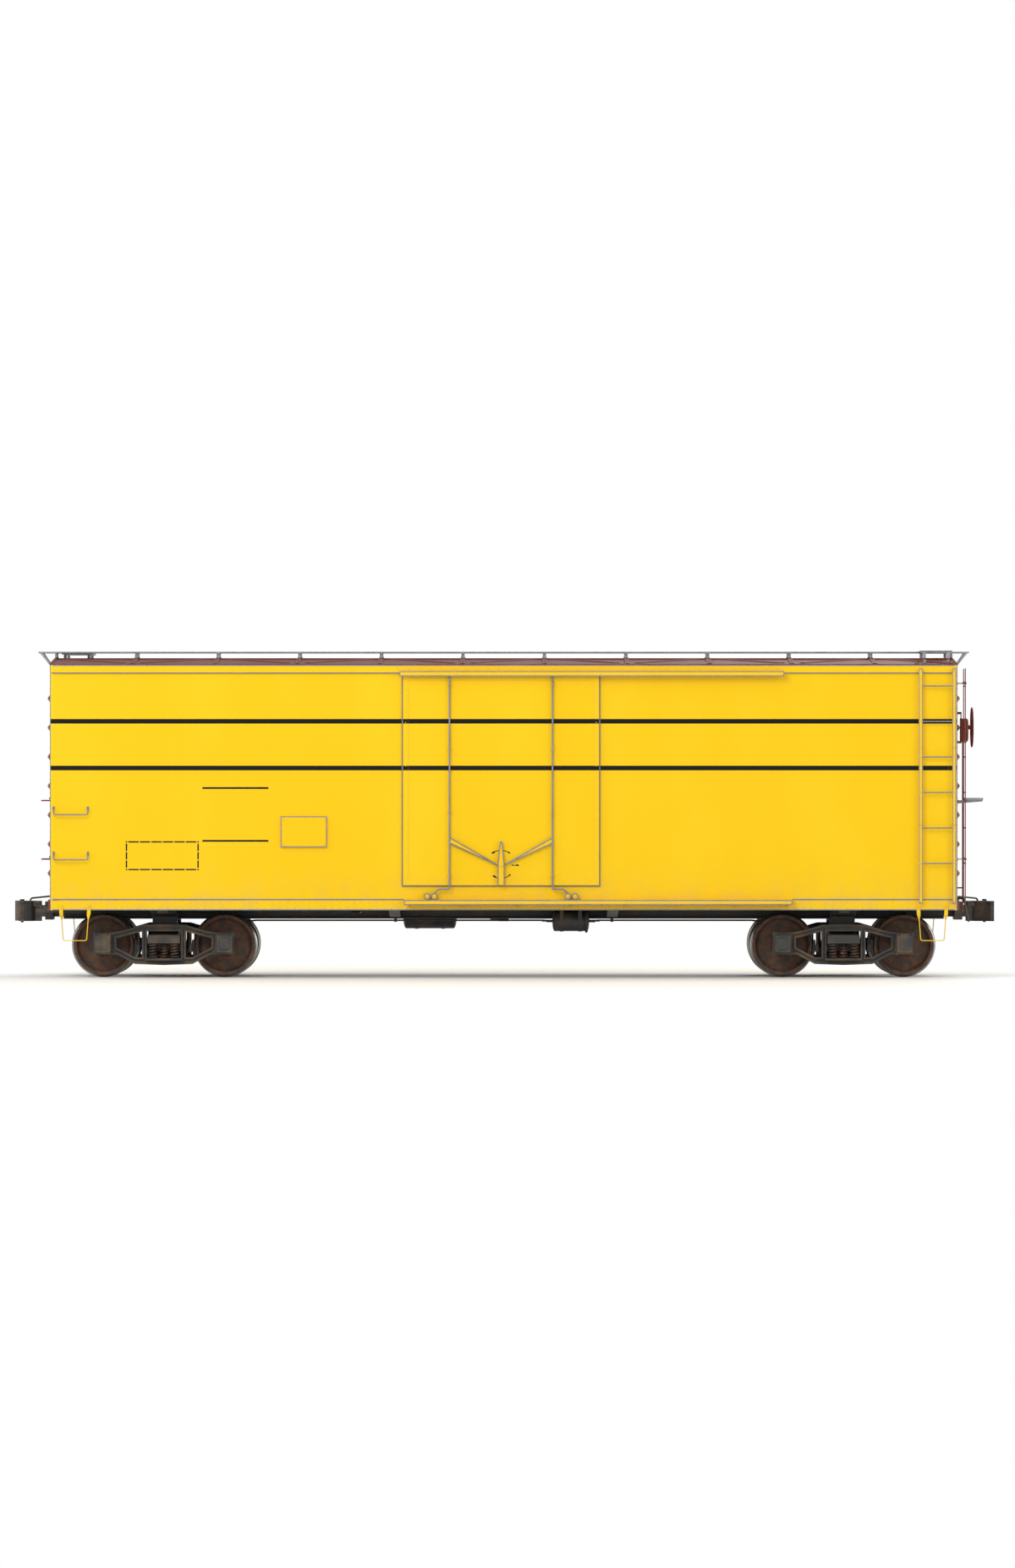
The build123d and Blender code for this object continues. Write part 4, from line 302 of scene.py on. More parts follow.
def plank_floor(name):
    """Planks laid across the car: tone by plank, grain drawn out along y, a dark joint at each edge."""
    material, tree, shader, place = new_finish(name, Roughness=0.78)
    x = add(tree, "SeparateXYZ", {"Vector": place}, out="X")
    plank = add(tree, "Math", {0: x, 1: PLANK_WIDTH}, operation="DIVIDE")
    number = add(tree, "Math", {0: plank}, operation="FLOOR")
    within = add(tree, "Math", {0: plank}, operation="FRACT")
    off_centre = add(tree, "Math", {0: within, 1: 0.5}, operation="SUBTRACT")
    off_centre = add(tree, "Math", {0: off_centre}, operation="ABSOLUTE")
    joint = add(tree, "MapRange", {"Value": off_centre, "From Min": JOINT_EDGE, "From Max": JOINT_DARK})
    tint = add(tree, "TexWhiteNoise", {"W": number}, out="Value", noise_dimensions="1D")
    tones = {"Factor": tint, "A": linear(PLANK_BROWN), "B": linear(PLANK_PALE)}
    wood = add(tree, "Mix", tones, data_type="RGBA")
    grain = patches(tree, place, 12 * MM, 0.2, 0.8, (1, 30, 1), 6.0)
    streak = add(tree, "Math", {0: grain, 1: 0.5}, operation="MULTIPLY")
    wood = add(tree, "Mix", {"Factor": streak, "A": wood, "B": linear(GRAIN_BROWN)}, data_type="RGBA")
    wood = add(tree, "Mix", {"Factor": joint, "A": wood, "B": linear(JOINT_BLACK)}, data_type="RGBA")
    relief = add(tree, "Math", {0: streak, 1: joint}, operation="SUBTRACT")
    relief = add(tree, "Bump", {"Height": relief, "Distance": 2.5 * MM, "Strength": 0.8})
    feed(tree, shader, Base_Color=wood, Normal=relief)
    return material


planks = plank_floor("floor_planks")
print("floor", planks.name)

# %% [markdown]
# Each solid now gets its finish. A table says which solids share one; the trucks' pieces follow their names.

# %% Finish the solids
FINISHES = (
    (striped_side, "near_left_wall near_right_wall far_left_wall far_right_wall"),
    (striped_side, "near_door far_door door_frames"),
    (plain_side, "side_plates side_sills door_tracks sill_steps tack_boards side_ladders"),
    (gear_zinc, "near_door_gear far_door_gear side_grab_irons"),
    (walk_zinc, "running_board brake_step"),
    (end_paint, "a_end_wall b_end_wall"),
    (red_oxide, "end_ladders end_grab_irons hand_brake"),
    (roof_cement, "roof"),
    (planks, "floor"),
    (underframe_black, "center_sill body_bolsters cross_members floor_stringers strikers"),
    (underframe_black, "brake_cylinder air_reservoir brake_valve brake_rods train_pipe cut_levers"),
    (cast_black, "couplers knuckles"),
)
finish_of = {name: material for material, names in FINISHES for name in names.split()}
finish_of |= {name: cast_black for name in nodes if "_truck_" in name}
wheel_finish = {}
for end in "ab":
    for place in ("outer", "inner"):
        lowest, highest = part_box(f"{end}_{place}_wheels")
        axle_x, axle_z = (lowest.x + highest.x) / 2, (lowest.z + highest.z) / 2
        steel = forged_wheel(f"{end}_{place}_wheel_steel", axle_x, axle_z)
        wheel_finish[end, place] = (steel, axle_x, axle_z)
        finish_of |= {f"{end}_{place}_wheels": steel, f"{end}_{place}_axle": steel}
for name, material in finish_of.items():
    nodes[name].data.materials.clear()
    nodes[name].data.materials.append(material)
print("solids without a finish:", [name for name in nodes if name not in finish_of])

# %% [markdown]
# Everything that is added from here on is a surface worked out with numpy. A shape is a grid of points, rows
# by columns: a circle carried along a path makes a bar, a flat strip carried along a path makes a strap, and
# a profile turned round an axis makes a wheel. Working on whole arrays is quick, and each formula stays
# short enough to read. The other way, modelling by hand in edit mode, can't be rerun when a size changes.

# %% Surfaces on a grid
def unit(vectors):
    """The same directions, each vector made one long."""
    return vectors / np.linalg.norm(vectors, axis=-1, keepdims=True)


def full_turn(count):
    """Angles in equal steps round a full turn, the first at 0."""
    return np.linspace(0, 2 * np.pi, count, endpoint=False)


def eased(share):
    """A share kept between 0 and 1, with a soft start and end: three times its square less twice its cube."""
    share = np.clip(share, 0, 1)
    return share * share * (3 - 2 * share)


def rounded_square(count, power):
    """A square two across with round corners: the cosine and sine of a turn, each to a power under 1."""
    turn = full_turn(count)
    return [np.sign(wave) * np.abs(wave) ** power for wave in (np.cos(turn), np.sin(turn))]


def grid_quads(rows, columns, ring=False):
    """Quads between neighbours on a grid: its columns close on themselves, and in a ring its rows do too."""
    row, column = np.meshgrid(np.arange(rows if ring else rows - 1), np.arange(columns), indexing="ij")
    row, column = row.ravel(), column.ravel()
    next_row, next_column = (row + 1) % rows, (column + 1) % columns
    corners = [row * columns + column, row * columns + next_column]
    corners += [next_row * columns + next_column, next_row * columns + column]
    return np.stack(corners, axis=1)


def closed_grid(grid):
    """A grid whose columns close into a tube, with a flat face over the first row and one over the last."""
    rows, columns = grid.shape[:2]
    ends = [np.arange(columns)[None, ::-1], (rows - 1) * columns + np.arange(columns)[None]]
    return grid.reshape(-1, 3), [grid_quads(rows, columns), *ends]


def strap(path, half_width, across, out, thickness):
    """Flat bar: each station of the path is widened both ways along across, then thickened along out."""
    path = np.asarray(path, dtype=float)
    half = np.broadcast_to(half_width, len(path))[:, None]
    reach = half * np.broadcast_to(across, path.shape)
    lift = np.asarray(out, dtype=float) * thickness
    left, right = path - reach, path + reach
    return closed_grid(np.stack([left, right, right + lift, left + lift], axis=1))


def cut_plate(outline, axis, edge_low, edge_high):
    """A plate between two values of one axis, its outline given in order as points in the other two."""
    outline = np.asarray(outline, dtype=float)
    rows = [np.insert(outline, axis, edge, axis=1) for edge in (edge_low, edge_high)]
    return closed_grid(np.stack(rows))


def tube(path, radius, sides=8):
    """Round bar: a circle carried along the path, square to it, with no twist from station to station."""
    path = np.asarray(path, dtype=float)
    ahead = unit(np.gradient(path, axis=0))
    side = np.empty_like(path)
    last = np.eye(3)[np.argmin(np.abs(ahead[0]))]
    for station, along in enumerate(ahead):
        last = unit(last - along * (last @ along))
        side[station] = last
    turn = full_turn(sides)[None, :, None]
    ring = np.cos(turn) * side[:, None] + np.sin(turn) * np.cross(ahead, side)[:, None]
    return closed_grid(path[:, None] + np.broadcast_to(radius, len(path))[:, None, None] * ring)


def rounded(corners, radius, steps=5):
    """A path through corners, each replaced by a curve that starts and ends radius before and after it."""
    corners = np.asarray(corners, dtype=float)
    middle = corners[1:-1]
    before = middle + unit(corners[:-2] - middle) * radius
    after = middle + unit(corners[2:] - middle) * radius
    t = np.linspace(0, 1, steps)[None, :, None]
    curve = (1 - t) ** 2 * before[:, None] + 2 * t * (1 - t) * middle[:, None] + t ** 2 * after[:, None]
    return np.concatenate([corners[:1], curve.reshape(-1, 3), corners[-1:]])


def turned(profile, centre, axis, sides=24, ring=False):
    """A profile of (distance along the axis, radius) turned round it; a ring's profile closes on itself."""
    axis = np.asarray(axis, dtype=float)
    first = unit(np.cross(axis, np.eye(3)[np.argmin(np.abs(axis))]))
    profile = np.asarray(profile, dtype=float)
    turn = full_turn(sides)[:, None]
    circle = np.cos(turn) * first + np.sin(turn) * np.cross(axis, first)
    grid = np.asarray(centre) + profile[:, :1, None] * axis + profile[:, 1:, None] * circle[None]
    if ring:
        return grid.reshape(-1, 3), [grid_quads(len(profile), sides, ring=True)]
    return closed_grid(grid)


def stamped(shape, places):
    """The same small shape at many places: every place is added to every point, all at once."""
    points, faces = shape
    places = np.asarray(places, dtype=float)
    start = (np.arange(len(places)) * len(points))[:, None, None]
    spread = (places[:, None] + points[None]).reshape(-1, 3)
    return spread, [(face[None] + start).reshape(-1, face.shape[1]) for face in faces]


def evenly(start, end, spacing):
    """Points from start to end, as near to the spacing as makes the steps equal."""
    start, end = np.asarray(start, dtype=float), np.asarray(end, dtype=float)
    count = max(2, round(float(np.linalg.norm(end - start)) / spacing) + 1)
    return start + np.linspace(0, 1, count)[:, None] * (end - start)


def half_turned(shapes):
    """The same shapes on the other side and end of the car."""
    return [(points * (-1, -1, 1), faces) for points, faces in shapes]


def both_hands(shapes):
    """Shapes and their twins, turned half round the car."""
    return list(shapes) + half_turned(shapes)


print("surface helpers ready")

# %% [markdown]
# A piece is one mesh of many shapes. Its faces are turned outwards, its flat creases are kept sharp, it takes
# one finish, and it rides on the body that carries it: the car, a truck or a wheelset.

# %% Make a piece
made_triangles = {}


def settle(piece, body, stands_for):
    """Puts a piece into the scene, on its body, and hides the solids that it replaces."""
    bpy.context.scene.collection.objects.link(piece)
    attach(piece, body)
    if stands_for:
        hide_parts(*stands_for)


def shade(mesh, crease):
    """Smooth shading, but for edges sharper than crease degrees."""
    mesh.polygons.foreach_set("use_smooth", np.ones(len(mesh.polygons), dtype=bool))
    mesh.set_sharp_from_angle(angle=np.radians(crease))


def make_piece(name, shapes, material, body="carbody", crease=38.0, stands_for=()):
    """One mesh of all the shapes: their points in a row, each shape's faces counted on from the last's."""
    points, faces, start = [], [], 0
    for shape_points, shape_faces in shapes:
        points.append(shape_points)
        faces += [row for face in shape_faces for row in (face + start).tolist()]
        start += len(shape_points)
    mesh = bpy.data.meshes.new(name)
    mesh.from_pydata(np.concatenate(points).tolist(), [], faces)
    skin = bmesh.new()
    skin.from_mesh(mesh)
    bmesh.ops.recalc_face_normals(skin, faces=skin.faces)
    skin.to_mesh(mesh)
    skin.free()
    shade(mesh, crease)
    mesh.materials.append(material)
    made_triangles[name] = sum(len(face) - 2 for face in faces)
    settle(bpy.data.objects.new(name, mesh), body, stands_for)


def soften(node, width, body, flat=1.0, crease=30.0):
    """A copy of a solid with rounded edges: its triangles merged, its flats joined, then a Bevel modifier."""
    mesh = nodes[node].data.copy()
    skin = bmesh.new()
    skin.from_mesh(mesh)
    bmesh.ops.remove_doubles(skin, verts=skin.verts, dist=0.01 * MM)
    bmesh.ops.dissolve_limit(skin, angle_limit=np.radians(flat), verts=skin.verts, edges=skin.edges)
    skin.to_mesh(mesh)
    skin.free()
    shade(mesh, crease)
    piece = bpy.data.objects.new(node + "_cast", mesh)
    edges = piece.modifiers.new("rounded_edges", "BEVEL")
    edges.width, edges.segments, edges.limit_method = width, 2, "ANGLE"
    edges.angle_limit, edges.harden_normals, edges.use_clamp_overlap = np.radians(crease), True, True
    settle(piece, body, (node,))


print("piece makers ready")

# %% [markdown]
# Rivets and bolts are what gives a steel car its scale. A rivet head is a dome: its ring at an angle t from
# the sheet has the radius cos t and the height sin t. There are thousands, so each has only a few dozen
# faces. A bolt head is a low six-sided block with its top corners taken off.

# %% Rivet and bolt heads
NEAR, FAR, B_WAY, A_WAY, UP = (0, -1, 0), (0, 1, 0), (1, 0, 0), (-1, 0, 0), (0, 0, 1)
HEAD_RINGS, HEAD_SHOULDER, HEAD_SUNK = (0, 30, 62), 0.86, 1 * MM


def rivet(normal, radius=10 * MM, height=6 * MM):
    """A dome on a sheet: rings at 0, 30 and 62 degrees from it, closed by a flat top."""
    lean = np.radians(HEAD_RINGS)
    dome = np.stack([height * np.sin(lean), radius * np.cos(lean)], axis=1)
    return turned(dome, (0, 0, 0), normal, sides=8)


def rivet_row(normal, start, end, spacing, radius=10 * MM, height=6 * MM):
    """Rivets at equal steps on the line from start to end."""
    return stamped(rivet(normal, radius, height), evenly(start, end, spacing))


def bolt(normal, flats=28 * MM, height=14 * MM):
    """A hexagon head, sunk a little in its seat, the corners of its top chamfered."""
    corner = flats / np.sqrt(3)
    block = [(-HEAD_SUNK, corner), (height * HEAD_SHOULDER, corner), (height, corner * HEAD_SHOULDER)]
    return turned(block, (0, 0, 0), normal, sides=6)


print("a rivet has", sum(len(face) for face in rivet(NEAR)[1]), "faces")

# %% [markdown]
# The ends are deep pressings. Steel sheet is pushed into a die, so each rib has the same rounded flank and
# runs out smoothly, like a rolling pin cut lengthwise. The solid end has the right ribs, but with flat-sided
# barrels. Here the whole sheet is one height field: its x is worked out for each y and z, with a raised
# cosine across each rib, so the paint shows the soft shading of real pressed sheet.

# %% Pressed ends
RIB_COUNT, RIB_RADIUS, RIB_NECK, RIB_START = 7, 0.082, 0.034, 0.88
RIB_BARREL, RIB_TAPER, RIB_TIP, TIP_ROUND, RIB_SPREAD = 0.590, 0.240, 1.350, 0.060, 1.32
SILL_PROUD, SILL_INSET, SHANK_HALF, SHANK_TOP = 0.026, 0.040, 0.095, 0.9937
EAVES_STEP, NARROW_REACH, FLANK_ROWS = 0.4 * MM, 0.020, 17
# The sheet's columns from the middle out, as first, last and count: close where a rib tapers or ends.
FRONT_COLUMNS = (
    (0, 0.5, 4),
    (RIB_BARREL, RIB_BARREL + RIB_TAPER, 9),
    (0.9, 1.24, 4),
    (RIB_TIP - TIP_ROUND, RIB_TIP, 6),
)
rib_pitch = (eaves_z - wall_foot) / (RIB_COUNT + 1)
rib_z = wall_foot + rib_pitch * (np.arange(RIB_COUNT) + RIB_START)


def rib_gap(count):
    """The height half way between two ribs of an end, counted from the bottom."""
    return wall_foot + rib_pitch * (count + RIB_START - 0.5)


def rib_reach(y):
    """How far a rib stands out at y: full on the barrel, less along the taper, then the neck to its tip."""
    y = np.abs(y)
    taper = eased((y - RIB_BARREL) / RIB_TAPER)
    tip = np.clip((RIB_TIP - y) / TIP_ROUND, 0, 1)
    return (RIB_RADIUS + (RIB_NECK - RIB_RADIUS) * taper) * np.sqrt(tip * (2 - tip))


def pressed_sheet():
    """The B end above its sill, rows up by columns round it: side, corner, ribbed front, corner, side."""
    flanks = (rib_z[:, None] + np.linspace(-1, 1, FLANK_ROWS) * RIB_RADIUS * RIB_SPREAD).ravel()
    rows = np.concatenate([[wall_foot], flanks, [wall_top, wall_top + EAVES_STEP, eaves_z]])
    half = np.where(rows > wall_top + EAVES_STEP / 2, eaves_y, side_y)[:, None]
    right = np.concatenate([np.linspace(*stretch) for stretch in FRONT_COLUMNS] + [[CORNER_Y]])
    front = np.concatenate([-right[:0:-1], right])
    depth = np.zeros((len(rows), len(front)))
    reach = rib_reach(front)
    for middle in rib_z:
        share = np.clip(np.abs(rows[:, None] - middle) / (np.maximum(reach, NARROW_REACH) * RIB_SPREAD), 0, 1)
        depth = np.maximum(depth, reach * 0.5 * (1 + np.cos(np.pi * share)))
    bend = np.radians(np.linspace(90, 0, 6))[None]
    corner_x = end_x - CORNER_RADIUS + CORNER_RADIUS * np.cos(bend) + 0 * half
    corner_y = half - CORNER_RADIUS + CORNER_RADIUS * np.sin(bend)
    front_y = np.broadcast_to(front, depth.shape)
    inside = np.full((len(rows), 1), inner_x)
    x = np.concatenate([inside, corner_x, end_x + depth, corner_x[:, ::-1], inside], axis=1)
    y = np.concatenate([-half, -corner_y, front_y, corner_y[:, ::-1], half], axis=1)
    return closed_grid(np.stack([x, y, np.broadcast_to(rows[:, None], x.shape)], axis=2))


def end_sill():
    """The channel under the sheet: two proud lengths, each with a rounded corner, bridged over the shank."""
    bend = np.radians(np.linspace(0, 90, 6))
    corner_x, corner_y = end_x + CORNER_RADIUS * (np.cos(bend) - 1), CORNER_Y + CORNER_RADIUS * np.sin(bend)
    proud, step_y = end_x + SILL_PROUD, side_y - SILL_INSET
    start = [(inner_x, SHANK_HALF), (proud, SHANK_HALF), (proud, step_y), (end_x, step_y)]
    outline = np.concatenate([start, np.stack([corner_x, corner_y], axis=1), [(inner_x, side_y)]])
    right = cut_plate(outline, 2, sill_foot, wall_foot)
    left = cut_plate(outline * (1, -1), 2, sill_foot, wall_foot)
    bridge = [(inner_x, -SHANK_HALF), (proud, -SHANK_HALF), (proud, SHANK_HALF), (inner_x, SHANK_HALF)]
    return [right, left, cut_plate(bridge, 2, SHANK_TOP, wall_foot)]


b_end = [pressed_sheet(), *end_sill()]
make_piece("b_pressed_end", b_end, end_paint, crease=50, stands_for=("b_end_wall",))
make_piece("a_pressed_end", half_turned(b_end), end_paint, crease=50, stands_for=("a_end_wall",))
print("end triangles", made_triangles["b_pressed_end"])

# %% [markdown]
# Rivets join the end sheets to the corner posts, the side sheets to the sill and the plate above them, and
# the roof sheets to their seam caps. Each row is a straight line of equal steps. On the roof, the slope is
# straight, so a rivet's height follows from its distance to the middle.

# %% Rivets on the body
SIDE_ROW_X, SILL_ROW_INSET, SILL_PITCH, PLATE_PITCH = 6.04, 0.030, 0.102, 0.152
POST_ROW_Y, POST_ROW_ENDS, POST_PITCH = 1.425, (wall_foot + 0.050, eaves_z - 0.060), 0.090
SHEET_ROW_Y, SHEET_PITCH, FOOT_ROW_Y, FOOT_PITCH = 1.36, 0.095, (0.30, 1.38), 0.135
plate_mid, sill_mid = (wall_top + eaves_z) / 2, (sill_foot + wall_foot) / 2
side_lines = [(sill_y, z, SILL_PITCH) for z in (sill_foot + SILL_ROW_INSET, wall_foot - SILL_ROW_INSET)]
side_lines.append((eaves_y, plate_mid, PLATE_PITCH))
side_rows = [
    rivet_row(NEAR, (-SIDE_ROW_X, -y, z), (SIDE_ROW_X, -y, z), pitch) for y, z, pitch in side_lines
]
end_rows = []
for side in (-1, 1):
    low_end, high_end = [(end_x, side * POST_ROW_Y, z) for z in POST_ROW_ENDS]
    end_rows.append(rivet_row(B_WAY, low_end, high_end, POST_PITCH))
    middle_end, corner_end = [(end_x + SILL_PROUD, side * y, sill_mid) for y in FOOT_ROW_Y]
    end_rows.append(rivet_row(B_WAY, middle_end, corner_end, FOOT_PITCH))
for z in (rib_gap(2), rib_gap(4)):
    end_rows.append(rivet_row(B_WAY, (end_x, -SHEET_ROW_Y, z), (end_x, SHEET_ROW_Y, z), SHEET_PITCH))
make_piece("side_rivets", both_hands(side_rows), plain_side)
make_piece("end_rivets", both_hands(end_rows), red_oxide)
print("rivet triangles", made_triangles["side_rivets"] + made_triangles["end_rivets"])

# %% Rivets on the roof
ROOF_SEAMS, SEAM_HALF, ROOF_EDGE, ROOF_RISE, SEAM_RAISED, SEAM_FALL = 12, 0.029, 0.012, 0.104, 0.020, 0.112
SEAM_RIVETS, FIRST_RIVET_Y, LAST_RIVET_INSET = 12, 0.330, 0.050
ridge_z = eaves_z + ROOF_EDGE + ROOF_RISE
slope = np.arctan2(ROOF_RISE, eaves_y)
last_seam = end_x - SEAM_HALF / 2
roof_heads = []
for side in (-1, 1):
    y = np.linspace(FIRST_RIVET_Y, eaves_y - LAST_RIVET_INSET, SEAM_RIVETS) * side
    cap_z = ridge_z + SEAM_RAISED - SEAM_FALL * np.abs(y) / eaves_y
    head = rivet((0, side * np.sin(slope), np.cos(slope)), 9 * MM, 5 * MM)
    for x in np.clip(np.linspace(-end_x, end_x, ROOF_SEAMS), -last_seam, last_seam):
        roof_heads.append(stamped(head, np.stack([np.full(SEAM_RIVETS, x), y, cap_z], axis=1)))
make_piece("roof_rivets", roof_heads, roof_cement)
print("roof rivet triangles", made_triangles["roof_rivets"])

# %% [markdown]
# Where one sheet laps another, a bead of grey sealant keeps the rain out. The edges that water runs off, or
# that boots and rollers rub, carry strips of zinc-coated steel. The drawing shows both as thin grey lines.
# Both are straight, so each is one strap, and at a corner of the car the strip follows the sheet's curve.

# %% Sealant and edge strips
BEAD, STRIP, STRIP_PROUD, CAP_PROUD, CAP_SUNK = 20 * MM, 16 * MM, 0.4 * MM, 0.8 * MM, 1 * MM
SILL_BEAD_Z, SILL_BEAD_PROUD = wall_foot + 2 * MM, sill_y - side_y + 1 * MM
EAVES_BEAD_Z, EAVES_BEAD_PROUD = wall_top - 5 * MM, eaves_y - side_y - 3 * MM
LOWER_TRACK_X, UPPER_TRACK_X = (-1.365, 3.952), (-1.429, 3.841)
LOWER_TRACK_DEPTH, UPPER_TRACK_DROP, UPPER_TRACK_DEPTH, UPPER_TRACK_REACH = 0.071, 0.0562, 0.073, 0.112
flat_x = end_x - CORNER_RADIUS


def level_strip(x_ends, y, z, width=STRIP, proud=STRIP_PROUD):
    """A flat strip along the near side, its middle at the height z, standing out from the plane at -y."""
    return strap([(x_ends[0], -y, z), (x_ends[1], -y, z)], width / 2, UP, NEAR, proud)


def edged(x_ends, y, z_ends, width, thickness):
    """Four flat strips just inside a rectangle on the near side, standing out from the plane at -y."""
    half = width / 2
    (left, right), (bottom, top) = x_ends, z_ends
    level = [level_strip(x_ends, y, z, width, thickness) for z in (bottom + half, top - half)]
    upright = [[(x, -y, bottom + width), (x, -y, top - width)] for x in (left + half, right - half)]
    return level + [strap(path, half, B_WAY, NEAR, thickness) for path in upright]


def corner_cap(half, z_low, z_high):
    """A strip round a corner of the B end, from 4 to 48 degrees of its arc and a little proud of it."""
    bend = np.radians(np.linspace(4, 48, 6))
    around = np.stack([np.cos(bend), -np.sin(bend)], axis=1)
    centre = np.array([flat_x, CORNER_RADIUS - half])
    outer, inner = [centre + (CORNER_RADIUS + lift) * around for lift in (CAP_PROUD, -CAP_SUNK)]
    return cut_plate(np.concatenate([outer, inner[::-1]]), 2, z_low, z_high)


beads = []
for (start, end), z, proud in (
    (LOWER_TRACK_X, SILL_BEAD_Z, SILL_BEAD_PROUD),
    (UPPER_TRACK_X, EAVES_BEAD_Z, EAVES_BEAD_PROUD),
):
    beads += [level_strip(x_ends, side_y, z, BEAD, proud) for x_ends in ((-flat_x, start), (end, flat_x))]
upper_foot = wall_top - UPPER_TRACK_DROP
lower_z, upper_z = (wall_foot - LOWER_TRACK_DEPTH, wall_foot), (upper_foot, upper_foot + UPPER_TRACK_DEPTH)
strips = edged(LOWER_TRACK_X, high("door_tracks", 1), lower_z, STRIP, STRIP_PROUD)
strips += edged(UPPER_TRACK_X, side_y + UPPER_TRACK_REACH, upper_z, STRIP, STRIP_PROUD)
strips += [
    level_strip((-inner_x, inner_x), sill_y, sill_foot + STRIP / 2),
    level_strip((-flat_x, -inner_x), side_y, sill_foot + STRIP / 2),
    level_strip((inner_x, flat_x), side_y, sill_foot + STRIP / 2),
    level_strip((-flat_x, flat_x), eaves_y, eaves_z - STRIP / 2),
]
caps = [corner_cap(side_y, sill_foot, wall_top), corner_cap(eaves_y, wall_top, eaves_z)]
strips += caps + [(points * (-1, 1, 1), faces) for points, faces in caps]
make_piece("seam_sealant", both_hands(beads), seal_rubber)
make_piece("edge_strips", both_hands(strips), gear_zinc)
print("bead and strip triangles", made_triangles["seam_sealant"] + made_triangles["edge_strips"])

# %% [markdown]
# The running board is steel grating: thin bearing bars on edge, with round cross rods pressed into them.
# The solids have a few of the bars. Here come the ones between them, thinner, and the rods.

# %% Grating
BEARING_DEPTH, BEARING_HALF, BEARING_SHORT = 18 * MM, 1.6 * MM, 0.5 * MM
CROSS_RADIUS, CROSS_DROP, CROSS_MARGIN, CROSS_PITCH = 2.6 * MM, 5 * MM, 0.030, 0.100
MAIN_WALK_HALF, SIDE_WALK_Y, SIDE_WALK_X = 0.251, (-1.268, -0.262), (5.727, 6.153)
walk_top, walk_reach = high("running_board", 2), high("running_board", 0)


def grating(length, width, bars):
    """Bearing bars along x, evenly spaced over the width in y, and round rods across them."""
    (start, end), foot = length, walk_top - BEARING_DEPTH
    shapes = [
        strap([(start, y, foot), (end, y, foot)], BEARING_HALF, FAR, UP, BEARING_DEPTH - BEARING_SHORT)
        for y in np.linspace(*width, bars)
    ]
    rod = tube([(0, width[0], 0), (0, width[1], 0)], CROSS_RADIUS, 5)
    ends = [(x, 0, walk_top - CROSS_DROP) for x in (start + CROSS_MARGIN, end - CROSS_MARGIN)]
    return shapes + [stamped(rod, evenly(*ends, CROSS_PITCH))]


main_walk = grating((-walk_reach, walk_reach), (-MAIN_WALK_HALF, MAIN_WALK_HALF), 25)
side_walk = [(points[:, (1, 0, 2)], faces) for points, faces in grating(SIDE_WALK_Y, SIDE_WALK_X, 21)]
make_piece("grating_bars", main_walk + both_hands(side_walk), walk_zinc)
print("grating triangles", made_triangles["grating_bars"])

# %% [markdown]
# Grab irons are 19 mm round bar, bent hot, with flattened feet that are bolted to the car. The solids have
# eight-sided ones with sharp bends. A circle carried along a rounded path gives the real bend. On the side
# they are the grey lines of the drawing, where the zinc shows.

# %% Grab irons
BAR_RADIUS, BAR_SIDES = 9.5 * MM, 10
GRAB_X, GRAB_HEIGHTS = (-6.163, -5.694), (2.217, 1.599)
GRAB_DROP, GRAB_STAND_OFF, GRAB_BEND = 0.066, 0.064, 0.026
END_GRAB_Y, END_STAND_OFF, END_GRAB_BEND = (0.960, 1.400), 0.118, 0.030
ROOF_GRAB_X, ROOF_GRAB_INSET = (end_x - 0.540, end_x - 0.100), 0.060
ROOF_GRAB_RISE, ROOF_GRAB_BEND = 0.070, 0.024
FOOT_SPAN, FOOT_HALF_WIDTHS, FOOT_METAL, FOOT_BOLT_AT = (-0.012, 0.046), (13 * MM, 15 * MM), 7 * MM, 0.031


def bar_foot(place, normal, along):
    """The flattened end of a bar against the sheet, with the head of its bolt beyond the bend."""
    place, along, normal = (np.asarray(v, dtype=float) for v in (place, along, normal))
    path = [place + along * step for step in FOOT_SPAN]
    flat = strap(path, FOOT_HALF_WIDTHS, np.cross(along, normal), normal, FOOT_METAL)
    bolt_at = place + normal * FOOT_METAL + along * FOOT_BOLT_AT
    return [flat, stamped(bolt(normal, 18 * MM, 9 * MM), [bolt_at])]


def grab_bar(corners, bend, normal, first_along, last_along):
    """A round bar bent at its corners, with a flattened foot on the sheet at each end."""
    bar = tube(rounded(corners, bend), BAR_RADIUS, BAR_SIDES)
    return [bar] + bar_foot(corners[0], normal, first_along) + bar_foot(corners[-1], normal, last_along)


def side_grab(height):
    """A drop grab iron: out from the sheet, down, along, up and back in."""
    z, out, (start, end) = RAIL_TOP + height, -side_y - GRAB_STAND_OFF, GRAB_X
    top = z + GRAB_DROP
    corners = [(start, -side_y, top), (start, out, top), (start, out, z)]
    corners += [(end, out, z), (end, out, top), (end, -side_y, top)]
    return grab_bar(corners, GRAB_BEND, NEAR, UP, UP)


def end_grab(z):
    """A straight grab iron on the B end, clear of the ribs."""
    out, (start, end) = end_x + END_STAND_OFF, END_GRAB_Y
    corners = [(end_x, start, z), (out, start, z), (out, end, z), (end_x, end, z)]
    return grab_bar(corners, END_GRAB_BEND, B_WAY, UP, UP)


def roof_grab():
    """The grab iron on the roof beside the ladder."""
    y, (start, end) = -eaves_y + ROOF_GRAB_INSET, ROOF_GRAB_X
    base = ridge_z - ROOF_RISE * abs(y) / eaves_y + 1 * MM
    top = base + ROOF_GRAB_RISE
    corners = [(start, y, base), (start, y, top), (end, y, top), (end, y, base)]
    return grab_bar(corners, ROOF_GRAB_BEND, UP, A_WAY, B_WAY)


